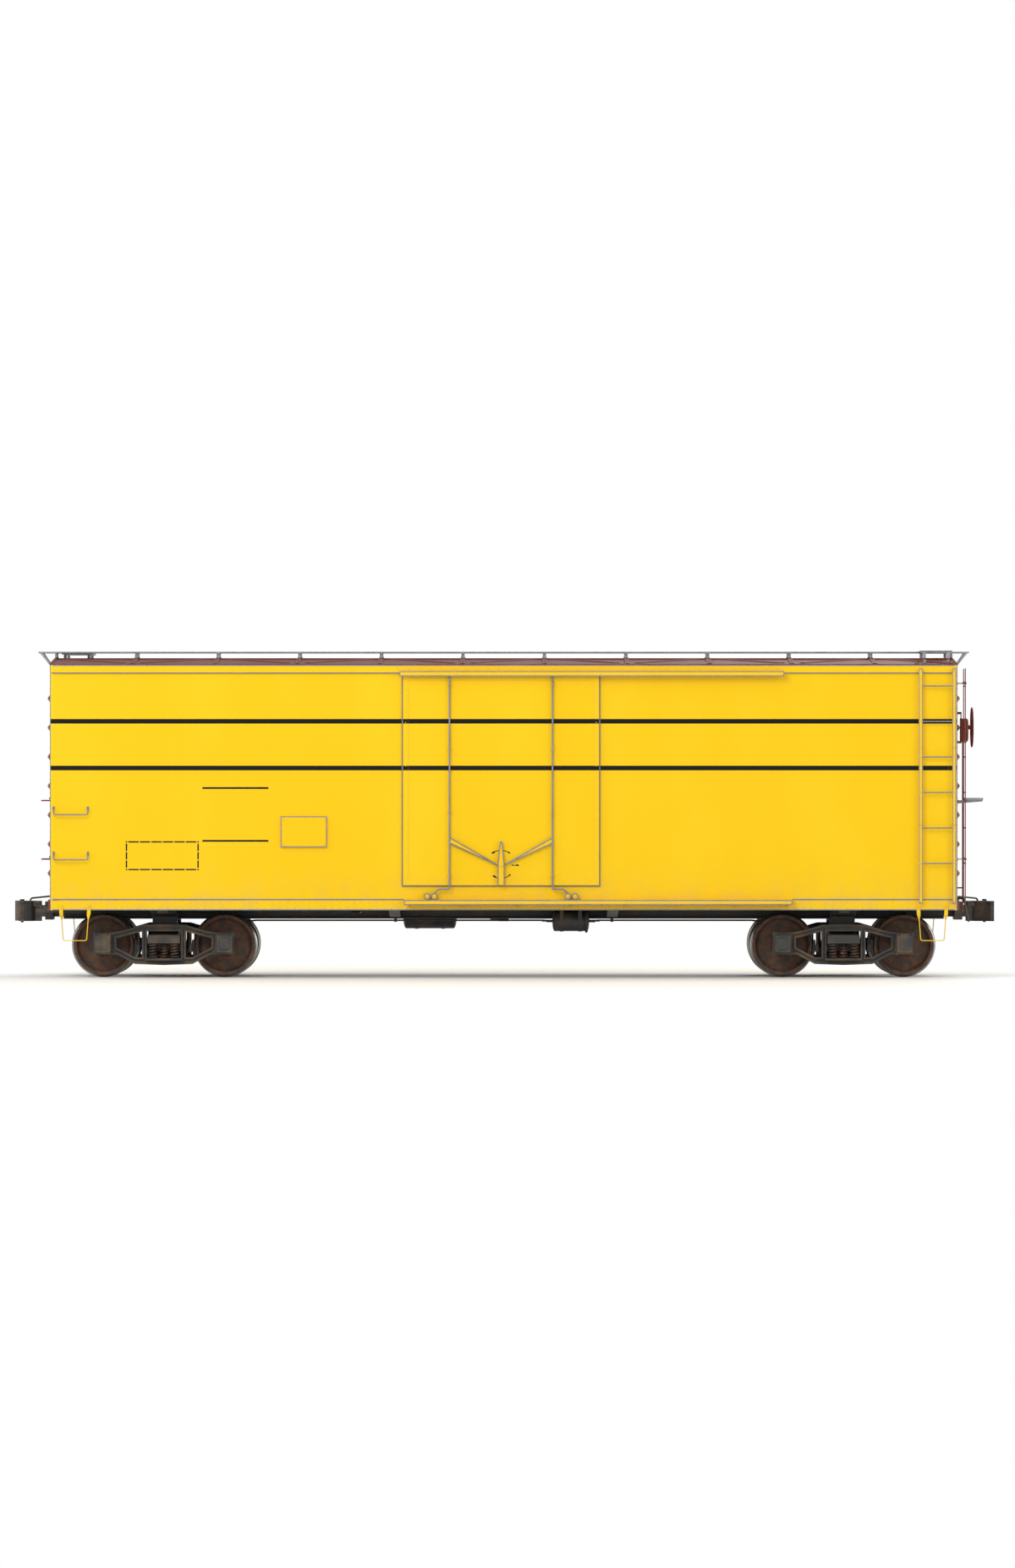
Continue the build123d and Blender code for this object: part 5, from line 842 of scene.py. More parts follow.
side_grabs = [shape for height in GRAB_HEIGHTS for shape in side_grab(height)]
end_grabs = [shape for count in (1, 3) for shape in end_grab(rib_gap(count))] + roof_grab()
make_piece("side_grab_bars", both_hands(side_grabs), gear_zinc, stands_for=("side_grab_irons",))
make_piece("end_grab_bars", both_hands(end_grabs), red_oxide, stands_for=("end_grab_irons",))
print("grab iron triangles", made_triangles["side_grab_bars"] + made_triangles["end_grab_bars"])

# %% [markdown]
# A ladder has two flat stiles, round rungs whose ends are flattened and riveted to them, and feet bent from
# flat bar that hold it a hand's breadth off the car. Hands and boots have worn the side ladder's rungs and
# the edges of its stiles down to the zinc, so both are the grey lines of the drawing, with yellow between.
# The end ladder is all oxide red.

# %% Ladders
LADDER_X, LADDER_OUT, END_LADDER_Y = (5.709, 6.166), 0.075, (-1.405, -0.985)
LADDER_LOW, LADDER_HIGH = RAIL_TOP + 0.999, RAIL_TOP + 4.221
FIRST_RUNG, RUNG_PITCH, RUNG_COUNT = RAIL_TOP + 1.549, 0.486, 6
RUNG_RIVET, RUNG_RIVET_SHIFT, LADDER_BOLT = (8 * MM, 5 * MM), 15 * MM, (22 * MM, 11 * MM)
STILE_HALF, STILE_THICK, STILE_EASE = 26.5 * MM, 12 * MM, 2.5 * MM
FOOT_HALF, FOOT_BAR, FOOT_INSET = 25 * MM, 8 * MM, 3 * MM
WORN_EDGE, WORN_INSET, WORN_PROUD = 11 * MM, 1.5 * MM, 0.6 * MM
rung_z = FIRST_RUNG + RUNG_PITCH * np.arange(RUNG_COUNT)
foot_z = np.linspace(LADDER_LOW + FOOT_HALF, LADDER_HIGH - FOOT_HALF, 4)
ladder_seats = (-sill_y, -side_y, -side_y, -eaves_y)


def stile(at, out, axis, feet):
    """A stile with its edges eased, and a foot at each (height, seat): out from the seat, then up the stile.

    axis is 0 for the side ladder, whose stile faces -y, and 1 for the end ladder, whose stile faces +x.
    """
    facing = -1 if axis == 0 else 1
    inner, low_edge, high_edge = out - facing * STILE_THICK, at - STILE_HALF, at + STILE_HALF
    eased_out = out - facing * STILE_EASE
    section = [(low_edge, inner), (high_edge, inner), (high_edge, eased_out), (high_edge - STILE_EASE, out)]
    section += [(low_edge + STILE_EASE, out), (low_edge, eased_out)]
    section = np.array(section) if axis == 0 else np.array(section)[:, ::-1]
    shapes = [cut_plate(section, 2, LADDER_LOW, LADDER_HIGH)]
    for z, seat in feet:
        foot, head, lower, upper = z - FOOT_HALF, z + FOOT_HALF, z - FOOT_BAR / 2, z + FOOT_BAR / 2
        front, behind = seat + facing * FOOT_BAR, inner - facing * FOOT_BAR
        bend = [(seat, foot), (front, foot), (front, lower), (inner, lower)]
        bend += [(inner, head), (behind, head), (behind, upper), (seat, upper)]
        shapes.append(cut_plate(bend, axis, low_edge + FOOT_INSET, high_edge - FOOT_INSET))
    return shapes


side_out, end_out = -side_y - LADDER_OUT, end_x + END_STAND_OFF
end_foot_z = [rib_gap(count) for count in (1, 3, 5, 7)]
side_feet, end_feet = list(zip(foot_z, ladder_seats)), [(z, end_x) for z in end_foot_z]
side_stiles = [shape for x in LADDER_X for shape in stile(x, side_out, 0, side_feet)]
end_stiles = [shape for y in END_LADDER_Y for shape in stile(y, end_out, 1, end_feet)]
rung_y, rung_x = side_out + STILE_THICK / 2, end_out - STILE_THICK / 2
side_rungs = [tube([(x, rung_y, z) for x in LADDER_X], BAR_RADIUS, BAR_SIDES) for z in rung_z]
end_rungs = [tube([(rung_x, y, z) for y in END_LADDER_Y], BAR_RADIUS, BAR_SIDES) for z in rung_z]
for x in LADDER_X:
    face = (x - STILE_HALF + WORN_INSET, x + STILE_HALF - WORN_INSET)
    side_rungs += edged(face, -side_out, (LADDER_LOW, LADDER_HIGH), WORN_EDGE, WORN_PROUD)
for shift in (-RUNG_RIVET_SHIFT, RUNG_RIVET_SHIFT):
    side_heads = [(x + shift, side_out, z) for x in LADDER_X for z in rung_z]
    end_heads = [(end_out, y + shift, z) for y in END_LADDER_Y for z in rung_z]
    side_stiles.append(stamped(rivet(NEAR, *RUNG_RIVET), side_heads))
    end_stiles.append(stamped(rivet(B_WAY, *RUNG_RIVET), end_heads))
side_bolts = [(x, side_out, z) for x in LADDER_X for z in foot_z]
end_bolts = [(end_out, y, z) for y in END_LADDER_Y for z in end_foot_z]
side_stiles.append(stamped(bolt(NEAR, *LADDER_BOLT), side_bolts))
end_stiles.append(stamped(bolt(B_WAY, *LADDER_BOLT), end_bolts))
side_ladder = both_hands(side_stiles)
make_piece("side_ladder_stiles", side_ladder, plain_side, stands_for=("side_ladders",))
make_piece("side_ladder_worn_steel", both_hands(side_rungs), gear_zinc)
end_ladder = both_hands(end_stiles + end_rungs)
make_piece("end_ladder_bars", end_ladder, red_oxide, stands_for=("end_ladders",))
print("ladder triangles", made_triangles["side_ladder_stiles"] + made_triangles["end_ladder_bars"])

# %% [markdown]
# A sill step is one flat bar, bent hot. Its feet lie flat on the sill, two bolts in each. Below the sill the
# bar twists a quarter turn, so that its width runs in and out, and then the tread is an easy bend. So the
# surface is a strap whose width direction turns from along the car to across it on the way down.

# %% Sill steps
STEP_X, STEP_HALF, STEP_DROP, STEP_FOOT, STEP_BEND = 5.870, 0.190, 0.420, (0.070, -0.015), 0.030
STEP_BAR_HALF, STEP_BAR_THICK, TREAD_HALF = 25 * MM, 11 * MM, 0.160
TWIST_START, TWIST_LENGTH, STEP_TAPER, STEP_BOLT_Z = 0.010, 0.140, 0.010, (0.022, 0.052)


def sill_step(x):
    """A bar down, along and up again; its width turns with a share that rises smoothly below the sill."""
    flat_y, turned_y = -sill_y - STEP_BAR_THICK / 2, -sill_y - STEP_BAR_HALF
    down = [(STEP_HALF, flat_y, z) for z in STEP_FOOT]
    down += [(STEP_HALF - STEP_TAPER, turned_y, -TWIST_START - TWIST_LENGTH)]
    down += [(TREAD_HALF, turned_y, -STEP_DROP + STEP_BAR_THICK / 2)]
    corners = [(x - u, y, sill_foot + z) for u, y, z in down]
    corners += [(x + u, y, sill_foot + z) for u, y, z in down[::-1]]
    path = rounded(corners, STEP_BEND, 7)
    path = np.concatenate([np.linspace(a, b, 5)[:-1] for a, b in zip(path[:-1], path[1:])] + [path[-1:]])
    turn = np.radians(90) * eased((sill_foot - TWIST_START - path[:, 2]) / TWIST_LENGTH)
    ahead = unit(np.gradient(path, axis=0))
    side = np.where(path[:, 0] < x, -1.0, 1.0)
    across = np.stack([np.cos(turn) * side, -np.sin(turn), 0 * turn], axis=1)
    across = unit(across - ahead * (across * ahead).sum(axis=1)[:, None])
    out = np.cross(across, ahead)
    return strap(path - out * STEP_BAR_THICK / 2, STEP_BAR_HALF, across, out, STEP_BAR_THICK)


steps = [sill_step(x) for x in (-STEP_X, STEP_X)]
foot_x = [side * STEP_X + way * STEP_HALF for side in (-1, 1) for way in (-1, 1)]
feet = [(x, -sill_y - STEP_BAR_THICK, sill_foot + z) for x in foot_x for z in STEP_BOLT_Z]
steps.append(stamped(bolt(NEAR, 20 * MM, 9 * MM), feet))
make_piece("bent_sill_steps", both_hands(steps), plain_side, stands_for=("sill_steps",))
print("step triangles", made_triangles["bent_sill_steps"])

# %% [markdown]
# A plug door is first swung out and then rolled aside. Two upright pipes carry cranks at their top and foot.
# Each lower crank ends in a pair of rollers on the track. A lever is clamped to each pipe, and between their
# tips stands the middle handle. The drawing shows all of this as thin grey lines with yellow between, so
# the round bars are bare zinc and the plates between them are painted.

# %% Door gear
door_low, door_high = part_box("near_door")
door_x = (door_low.x + door_high.x) / 2
SHEET_PROUD, ROD_PROUD = 0.033, 0.069
sheet_y, rod_y = -side_y - SHEET_PROUD, -side_y - ROD_PROUD
ROD_SPACING, ROD_RADIUS, ROD_BEND, TOP_CRANK_DROP, TOP_CRANK_REACH = 1.410, 12 * MM, 0.014, 0.011, 0.130
CRANK_REACH, CRANK_KNEE, ROLLER_PIN_X, KNEE_RISE, TOP_CRANK_RADIUS = 0.150, 0.234, 0.258, 0.020, 10 * MM
LEVER_HIGH, LEVER_LOW, PIN_Z = RAIL_TOP + 1.902, RAIL_TOP + 1.831, RAIL_TOP + 1.524
HANDLE_FOOT, HANDLE_TOP, HANDLE_HALF, TIP_HALF = door_low.z + 0.006, RAIL_TOP + 1.853, 0.041, 0.010
EDGE_RADIUS, EDGE_PROUD, TIP_DROP, TIP_SIDE, TIP_DEPTH = 8.5 * MM, 12 * MM, 0.022, 14 * MM, 24 * MM
ROLLER_RADIUS, ROLLER_OFFSETS, LINK_MARGINS = 0.047, (0.208, 0.308), (-0.020, 0.020)
EDGE_BEND, EDGE_SHORT, BLADE_SHORT = 0.020, 0.012, 0.010
LINK_BEHIND, LINK_HALF, LINK_METAL = 0.021, 17 * MM, 8 * MM
GUIDE_FOOT, GUIDE_SHORT, GUIDE_INSET = door_low.z + 0.071, 0.040, 4 * MM
WEB_ENDS, WEB_METAL, BLADE_PROUD, BLADE_METAL = ((LEVER_HIGH - LEVER_LOW) / 2, 2 * MM), 5 * MM, 9 * MM, 5 * MM
CLAMP_METAL, CLAMP_HALF, CLAMP_BOLT_X, CLAMP_INSET = 8 * MM, 20 * MM, 27.5 * MM, 0.130
rod_foot, rod_top = RAIL_TOP + 1.196, wall_top - 0.026
roller_z = wall_foot + ROLLER_RADIUS + 0.6 * MM
# Profiles turned round a pin: distance out along it and radius, in millimetres.
ROLLER_RIM = np.array([
    (-17, 47), (17, 47), (19, 45), (19, 33), (15, 31), (-15, 31), (-19, 33), (-19, 45),
]) * MM
ROLLER_HUB = np.array([(-14, 32), (12, 32), (12, 15), (20, 15), (22, 12)]) * MM
PIN_BOSS = np.array([(0, 46), (34, 46), (40, 41)]) * MM
PIN_CAP = np.array([(0, 22), (20, 22), (24, 18), (24, 6)]) * MM


def door_bars():
    """The near door's bare bars: pipes, cranks, roller rims, and the edges of the levers and the handle."""
    bars = []
    for way in (-1, 1):
        x = door_x + way * ROD_SPACING / 2
        crank = [(x, rod_y, rod_top), (x, rod_y, rod_foot), (x + way * CRANK_REACH, rod_y, rod_foot)]
        crank.append((x + way * CRANK_KNEE, rod_y, roller_z + KNEE_RISE))
        crank.append((x + way * ROLLER_PIN_X, rod_y, roller_z))
        bars.append(tube(rounded(crank, ROD_BEND), ROD_RADIUS, 12))
        top = [(x + reach, rod_y, rod_top - TOP_CRANK_DROP) for reach in (0, way * TOP_CRANK_REACH)]
        bars.append(tube(top, TOP_CRANK_RADIUS, 10))
        for z in (LEVER_HIGH, LEVER_LOW):
            bars.append(tube([(x, rod_y, z), (door_x + way * HANDLE_HALF, rod_y, PIN_Z)], EDGE_RADIUS, 8))
        for offset in ROLLER_OFFSETS:
            bars.append(turned(ROLLER_RIM, (x + way * offset, rod_y, roller_z), NEAR, 28, ring=True))
        edge = [(HANDLE_HALF, HANDLE_FOOT), (HANDLE_HALF, PIN_Z), (TIP_HALF, HANDLE_TOP - EDGE_SHORT)]
        edge = [(door_x + way * half, rod_y - EDGE_PROUD, z) for half, z in edge]
        bars.append(tube(rounded(edge, EDGE_BEND), EDGE_RADIUS, 8))
    tip = [(door_x, rod_y - TIP_DEPTH, z) for z in (HANDLE_TOP - TIP_DROP, HANDLE_TOP)]
    bars.append(strap(tip, TIP_SIDE, B_WAY, FAR, TIP_DEPTH))
    return bars


def pipe_clamp(x, z):
    """A pillow block that holds a pipe off the sheet, with a bolt through each of its feet."""
    top = sheet_y - CLAMP_METAL
    hill = [(35, sheet_y), (35, top), (18, top), (15, rod_y + 4 * MM), (8, rod_y + 1 * MM)]
    outline = [(x + half * MM, y) for half, y in hill] + [(x - half * MM, y) for half, y in hill[::-1]]
    feet = [(x + shift, top, z) for shift in (-CLAMP_BOLT_X, CLAMP_BOLT_X)]
    return [cut_plate(outline, 2, z - CLAMP_HALF, z + CLAMP_HALF), stamped(bolt(NEAR, 14 * MM, 7 * MM), feet)]


def door_plates():
    """The painted plates: lever webs, roller hubs and links, pipe clamps, the handle's blade and guide."""
    plates = []
    for way in (-1, 1):
        x = door_x + way * ROD_SPACING / 2
        web = [(x, rod_y, (LEVER_HIGH + LEVER_LOW) / 2), (door_x + way * HANDLE_HALF, rod_y, PIN_Z)]
        plates.append(strap(web, WEB_ENDS, UP, FAR, WEB_METAL))
        for offset in ROLLER_OFFSETS:
            plates.append(turned(ROLLER_HUB, (x + way * offset, rod_y, roller_z), NEAR, 24))
        reaches = [way * (offset + margin) for offset, margin in zip(ROLLER_OFFSETS, LINK_MARGINS)]
        link = [(x + reach, rod_y + LINK_BEHIND, roller_z) for reach in reaches]
        plates.append(strap(link, LINK_HALF, UP, FAR, LINK_METAL))
        for z in np.linspace(door_low.z + CLAMP_INSET, door_high.z - CLAMP_INSET, 4):
            plates += pipe_clamp(x, z)
    blade = [(door_x, rod_y - BLADE_PROUD, z) for z in (HANDLE_FOOT, PIN_Z, HANDLE_TOP - BLADE_SHORT)]
    plates.append(strap(blade, [HANDLE_HALF, HANDLE_HALF, TIP_HALF], B_WAY, NEAR, BLADE_METAL))
    guide = [(door_x, sheet_y, z) for z in (GUIDE_FOOT, PIN_Z - GUIDE_SHORT)]
    plates.append(strap(guide, HANDLE_HALF - GUIDE_INSET, B_WAY, NEAR, sheet_y - rod_y + BLADE_PROUD))
    plates.append(turned(PIN_BOSS, (door_x, sheet_y, PIN_Z), NEAR, 24))
    plates.append(turned(PIN_CAP, (door_x, rod_y, PIN_Z), NEAR, 20))
    return plates


bars, plates = door_bars(), door_plates()
make_piece("near_door_bars", bars, gear_zinc, stands_for=("near_door_gear",))
make_piece("far_door_bars", half_turned(bars), gear_zinc, stands_for=("far_door_gear",))
make_piece("door_gear_plates", both_hands(plates), plain_side)
print("door gear triangles", made_triangles["near_door_bars"], made_triangles["door_gear_plates"])

# %% [markdown]
# A rubber seal runs round the door, squeezed between its rim and the sheets, and shows as a grey line. A
# steel edging of the same grey keeps the board for route cards from splitting. Screws hold the door's skin
# to its frame and rivets hold the upper track.

# %% Seals, edgings and screws
SEAL, SEAL_DEPTH, EDGING, EDGING_METAL, BOARD_PROUD = 18 * MM, 16 * MM, 14 * MM, 2 * MM, 0.024
BOARD_X, BOARD_Z, BOARD_BOLT_INSET = (-3.055, -2.420), (RAIL_TOP + 1.770, RAIL_TOP + 2.195), 0.040
SKIN_PROUD, SCREW_INSET, TOP_SCREW_INSET, SCREW_PITCH = 0.038, 0.035, 0.050, 0.150
SCREW_GAPS, SKIN_SCREW, TRACK_RIVET = (0.150, 0.200), (7 * MM, 3.5 * MM), (9 * MM, 5 * MM)
TRACK_ROW_X, TRACK_ROW_DROP, TRACK_PITCH = (-1.38, 3.79), 0.026, 0.245
seal_x, seal_z = (door_low.x - SEAL, door_high.x + SEAL), (door_low.z - SEAL, door_high.z + SEAL)
seal = edged(seal_x, side_y, seal_z, SEAL, SEAL_DEPTH)
edging = edged(BOARD_X, side_y + BOARD_PROUD, BOARD_Z, EDGING, EDGING_METAL)
make_piece("door_seals", both_hands(seal), seal_rubber)
make_piece("board_edgings", both_hands(edging), gear_zinc)
face_y, track_y, track_z = -side_y - SKIN_PROUD, -side_y - UPPER_TRACK_REACH, wall_top - TRACK_ROW_DROP
left, right = door_low.x + SCREW_INSET, door_high.x - SCREW_INSET
foot, head = door_low.z + SCREW_GAPS[0], door_high.z - SCREW_GAPS[1]
levels = (door_low.z + SCREW_INSET, door_high.z - TOP_SCREW_INSET)
lines = [((left, face_y, z), (right, face_y, z)) for z in levels]
lines += [((x, face_y, foot), (x, face_y, head)) for x in (left, right)]
heads = [rivet_row(NEAR, start, end, SCREW_PITCH, *SKIN_SCREW) for start, end in lines]
track_row = [(x, track_y, track_z) for x in TRACK_ROW_X]
heads.append(rivet_row(NEAR, *track_row, TRACK_PITCH, *TRACK_RIVET))
bolt_x, bolt_z = [(span[0] + BOARD_BOLT_INSET, span[1] - BOARD_BOLT_INSET) for span in (BOARD_X, BOARD_Z)]
board_bolts = [(x, -side_y - BOARD_PROUD, z) for x in bolt_x for z in bolt_z]
heads.append(stamped(bolt(NEAR, 18 * MM, 8 * MM), board_bolts))
make_piece("side_screws", both_hands(heads), plain_side)
print("seal and screw triangles", made_triangles["door_seals"], made_triangles["side_screws"])

# %% [markdown]
# The marks on the side that say nothing in words stay: two plain bars, a dashed outline, and three arrows
# round the door handle. They are stencilled, so each is a film of paint half a millimetre proud, cut as
# straps: a bar has one width, and an arrow's width changes along its path, thick tail, thin shaft and head.

# %% Painted marks
FILM = 0.5 * MM
RULE_X, RULE_HEIGHTS, RULE_HALF = (-4.126, -3.221), (2.581, 1.858), 13 * MM
BOX_X, BOX_Z = (-5.166, -4.185), (RAIL_TOP + 1.465, RAIL_TOP + 1.844)
# Corner to corner round the outline: which x and z it leaves, which it reaches, and how many bars it has.
BOX_SIDES = ((0, 0, 1, 0, 6), (1, 0, 1, 1, 3), (1, 1, 0, 1, 6), (0, 1, 0, 0, 3))


def dashes(start, end, across, count, gap=15 * MM, width=20 * MM):
    """Equal bars between two corner dots: the length less the gaps and half a dot at each end, shared out."""
    start, end = np.asarray(start, dtype=float), np.asarray(end, dtype=float)
    length = np.linalg.norm(end - start)
    dash, ahead = (length - width - gap * (count + 1)) / count, (end - start) / length
    first = start + ahead * (width / 2 + gap)
    piece = strap([(0, 0, 0), ahead * dash], width / 2, across, NEAR, FILM)
    dot = strap([-ahead * width / 2, ahead * width / 2], width / 2, across, NEAR, FILM)
    return [stamped(piece, first + ahead * (dash + gap) * np.arange(count)[:, None]), stamped(dot, [start])]


TAIL_END, HEAD_START = 0.17, 0.87
TAIL_HALF, SHAFT_HALF, HEAD_HALF, POINT_HALF = 12 * MM, 5.5 * MM, 15 * MM, 0.2 * MM
ARROW_SHARES = (0, 0.168, 0.172, 0.3, 0.4, 0.5, 0.6, 0.7, 0.8, 0.868, 0.872, 0.94, 1.0)
# The arrows bent round the pin: radius, first and last angle in degrees, and 1 over it or -1 under it.
BENT_ARROWS = ((0.205, -38, 40, 1), (0.180, -38, 49, -1))
# Stations of the level arrow: metres from the pin, and half of its width there in millimetres.
LEVEL_ARROW = ((0.243, 11), (0.206, 11), (0.205, 5), (0.168, 5), (0.167, 12), (0.141, 0.4))


def arc_arrow(radius, from_angle, to_angle, up):
    """An arrow bent round the handle's pin, its angles in degrees from straight up or straight down."""
    share = np.array(ARROW_SHARES)
    half = np.where(share < TAIL_END, TAIL_HALF, SHAFT_HALF)
    half = np.where(share > HEAD_START, HEAD_HALF * (1 - share) / (1 - HEAD_START) + POINT_HALF, half)
    angle = np.radians(from_angle + (to_angle - from_angle) * share)
    out = np.stack([np.sin(angle), np.zeros(len(angle)), up * np.cos(angle)], axis=1)
    return strap(np.array([door_x, sheet_y, PIN_Z]) + radius * out, half, out, NEAR, FILM)


marks = [
    strap([(x, -side_y, RAIL_TOP + z) for x in RULE_X], RULE_HALF, UP, NEAR, FILM) for z in RULE_HEIGHTS
]
for x_from, z_from, x_to, z_to, count in BOX_SIDES:
    ends = [(BOX_X[x_from], -side_y, BOX_Z[z_from]), (BOX_X[x_to], -side_y, BOX_Z[z_to])]
    marks += dashes(*ends, UP if z_from == z_to else B_WAY, count)
marks += [arc_arrow(*arrow) for arrow in BENT_ARROWS]
level_path = [(door_x + reach, sheet_y, PIN_Z) for reach, half in LEVEL_ARROW]
marks.append(strap(level_path, [half * MM for reach, half in LEVEL_ARROW], UP, NEAR, FILM))
make_piece("painted_marks", both_hands(marks), stencil_black)
print("marks", len(marks), "a side")

# %% [markdown]
# A wheel is one closed profile turned round the axle: flange, coned tread, thick rim, dished plate and hub.
# The solids have thirty-two flats, which is enough to roll on; here the tread is round. Profile points are
# (distance out from the back face, radius) in millimetres.

# %% Wheels and axles
WHEEL_BACK = 0.6765
WHEEL_PROFILE = np.array([
    (-16, 86), (-16, 128), (-8, 135), (40, 150), (44, 158), (38, 240), (30, 330), (14, 366), (0, 373),
    (0, 430), (2, 438), (8, 443.5), (16, 444.5), (24, 441), (29, 432), (33, 423), (40, 420.2), (46, 419.1),
    (139, 414.6), (145, 409), (145, 375), (140, 369), (84, 352), (64, 330), (62, 250), (74, 165), (92, 150),
    (150, 137), (158, 131), (160, 124), (160, 86),
]) * MM
AXLE_HALF = np.array([
    (0, 80), (560, 80), (640, 84), (660, 88.5), (836, 88.5), (838, 76), (846, 70), (1098, 70), (1104.9, 64),
]) * MM
axle_profile = np.concatenate([AXLE_HALF[:0:-1] * (-1, 1), AXLE_HALF])
for (end, place), (steel, axle_x, axle_z) in wheel_finish.items():
    pair = [
        turned(WHEEL_PROFILE, (axle_x, side * WHEEL_BACK, axle_z), (0, side, 0), 96, ring=True)
        for side in (-1, 1)
    ]
    shaft = [turned(axle_profile, (axle_x, 0, axle_z), FAR, 40)]
    wheelset = f"{end}_{place}"
    for part, shapes in (("wheels", pair), ("axle", shaft)):
        make_piece(
            f"{wheelset}_forged_{part}", shapes, steel, f"{wheelset}_wheelset",
            crease=24, stands_for=(f"{wheelset}_{part}",),
        )
print("wheelset triangles", made_triangles["a_outer_forged_wheels"] + made_triangles["a_outer_forged_axle"])

# %% [markdown]
# A truck spring is a bar wound hot: one wire on a helix, with its first and last turns closed and ground flat
# to stand square, and a second, smaller coil inside it. The height rises with the turns, except in those end
# turns, where it stays.

# %% Springs
SPRING_LOW, SPRING_HIGH, JOURNAL_Y = RAIL_TOP + 0.240, RAIL_TOP + 0.444, 0.9779
TRUCK_X = (low("b_truck_bolster", 0) + high("b_truck_bolster", 0)) / 2
CLOSED_TURNS, COIL_SPACING = 0.75, (0.150, 0.072)
# The outer and the inner coil: radius, radius of the wire, turns, and steps a turn and sides drawn.
COILS = ((48.5 * MM, 11 * MM, 5.5, 14, 8), (26 * MM, 6.5 * MM, 8, 12, 6))


def coil(radius, wire, turns, steps, sides):
    """A helix of wire about the Z axis from the spring seat to the bolster, its end turns nearly flat."""
    turn = np.linspace(0, turns, int(turns * steps) + 1)
    bends = [0, CLOSED_TURNS, turns - CLOSED_TURNS, turns]
    heights = [SPRING_LOW + wire, SPRING_LOW + 2 * wire, SPRING_HIGH - 2 * wire, SPRING_HIGH - wire]
    z, angle = np.interp(turn, bends, heights), 2 * np.pi * turn
    return tube(np.stack([radius * np.cos(angle), radius * np.sin(angle), z], axis=1), wire, sides)


wires = [coil(*sizes) for sizes in COILS]
corners = [(x, y) for x in (-COIL_SPACING[0], COIL_SPACING[0]) for y in (-COIL_SPACING[1], COIL_SPACING[1])]
nest = np.array([(0, 0)] + corners)
for end, truck_x in (("b", TRUCK_X), ("a", -TRUCK_X)):
    spots = np.concatenate([nest + (truck_x, side * JOURNAL_Y) for side in (-1, 1)])
    wound = [stamped(wire, np.insert(spots, 2, 0, axis=1)) for wire in wires]
    make_piece(
        f"{end}_wound_springs", wound, spring_steel, f"{end}_truck",
        stands_for=(f"{end}_truck_springs",),
    )
print("spring triangles", made_triangles["a_wound_springs"])

# %% [markdown]
# Castings have no sharp edges, because sand can't hold one. A copy of each cast solid is merged into one
# skin and bevelled, which gives the edges the soft light that tells cast steel from cut plate.

# %% Rounded castings
for end in "ab":
    for part, width in (("side_frames", 7 * MM), ("bolster", 6 * MM), ("brake_rigging", 2 * MM)):
        soften(f"{end}_truck_{part}", width, f"{end}_truck")
for node, width in (("couplers", 8 * MM), ("knuckles", 7 * MM), ("strikers", 6 * MM)):
    soften(node, width, "carbody")
print("castings softened")

# %% [markdown]
# Journal boxes are closed by a pressed lid with a raised middle, which slopes outwards to its foot. The
# frame's columns carry bolts that hold the wear plates. All of these ride with the truck.

# %% Truck lids and bolts
BOX_FRONT, LID_FOOT, LID_HEAD, HALF_WHEELBASE = 1.1349, (0.036, -0.096), (0.014, 0.132), 0.8382
AXLE_HEIGHT, FRAME_FACE, LID_HALVES, LID_POWER = 0.4445, 1.0354, (0.076, 0.090), 0.45
COLUMN_BOLT_X, COLUMN_BOLT_HEIGHTS = 0.248, (0.300, 0.440, 0.560)
# Stations of the lid's boss: millimetres out from the lid, and the share of its size there.
LID_STATIONS = np.array([(-3, 1.0), (5, 0.98), (10, 0.90), (13, 0.76), (14, 0.45)]) * (MM, 1)


def box_lid(x, side):
    """Rounded rectangles on the lid's slope, each further out and smaller: a pressed boss."""
    wide, tall = rounded_square(28, LID_POWER)
    out, share = LID_STATIONS[:, :1], LID_STATIONS[:, 1:]
    height = (LID_FOOT[1] + LID_HEAD[1]) / 2 + share * LID_HALVES[1] * tall
    slope = (LID_HEAD[0] - LID_FOOT[0]) / (LID_HEAD[1] - LID_FOOT[1])
    face = BOX_FRONT + LID_FOOT[0] + slope * (height - LID_FOOT[1])
    lid_x = x + share * LID_HALVES[0] * wide
    return closed_grid(np.stack([lid_x, side * (face + out), AXLE_HEIGHT + height], axis=2))


for end, truck_x in (("b", TRUCK_X), ("a", -TRUCK_X)):
    castings = [box_lid(truck_x + way * HALF_WHEELBASE, side) for way in (-1, 1) for side in (-1, 1)]
    bolt_x = [truck_x + way * COLUMN_BOLT_X for way in (-1, 1)]
    for side, normal in ((-1, NEAR), (1, FAR)):
        spots = [(x, side * FRAME_FACE, RAIL_TOP + z) for x in bolt_x for z in COLUMN_BOLT_HEIGHTS]
        castings.append(stamped(bolt(normal, 20 * MM, 11 * MM), spots))
    make_piece(f"{end}_truck_lids_and_bolts", castings, cast_black, f"{end}_truck")
print("lid and bolt triangles", made_triangles["b_truck_lids_and_bolts"])

# %% [markdown]
# Air tanks are rolled drums with dished heads, each hung from the floor in two steel bands. The cylinder has
# a flanged head with a ring of bolts. Pipes join the tank and the long pipe to the control valve.

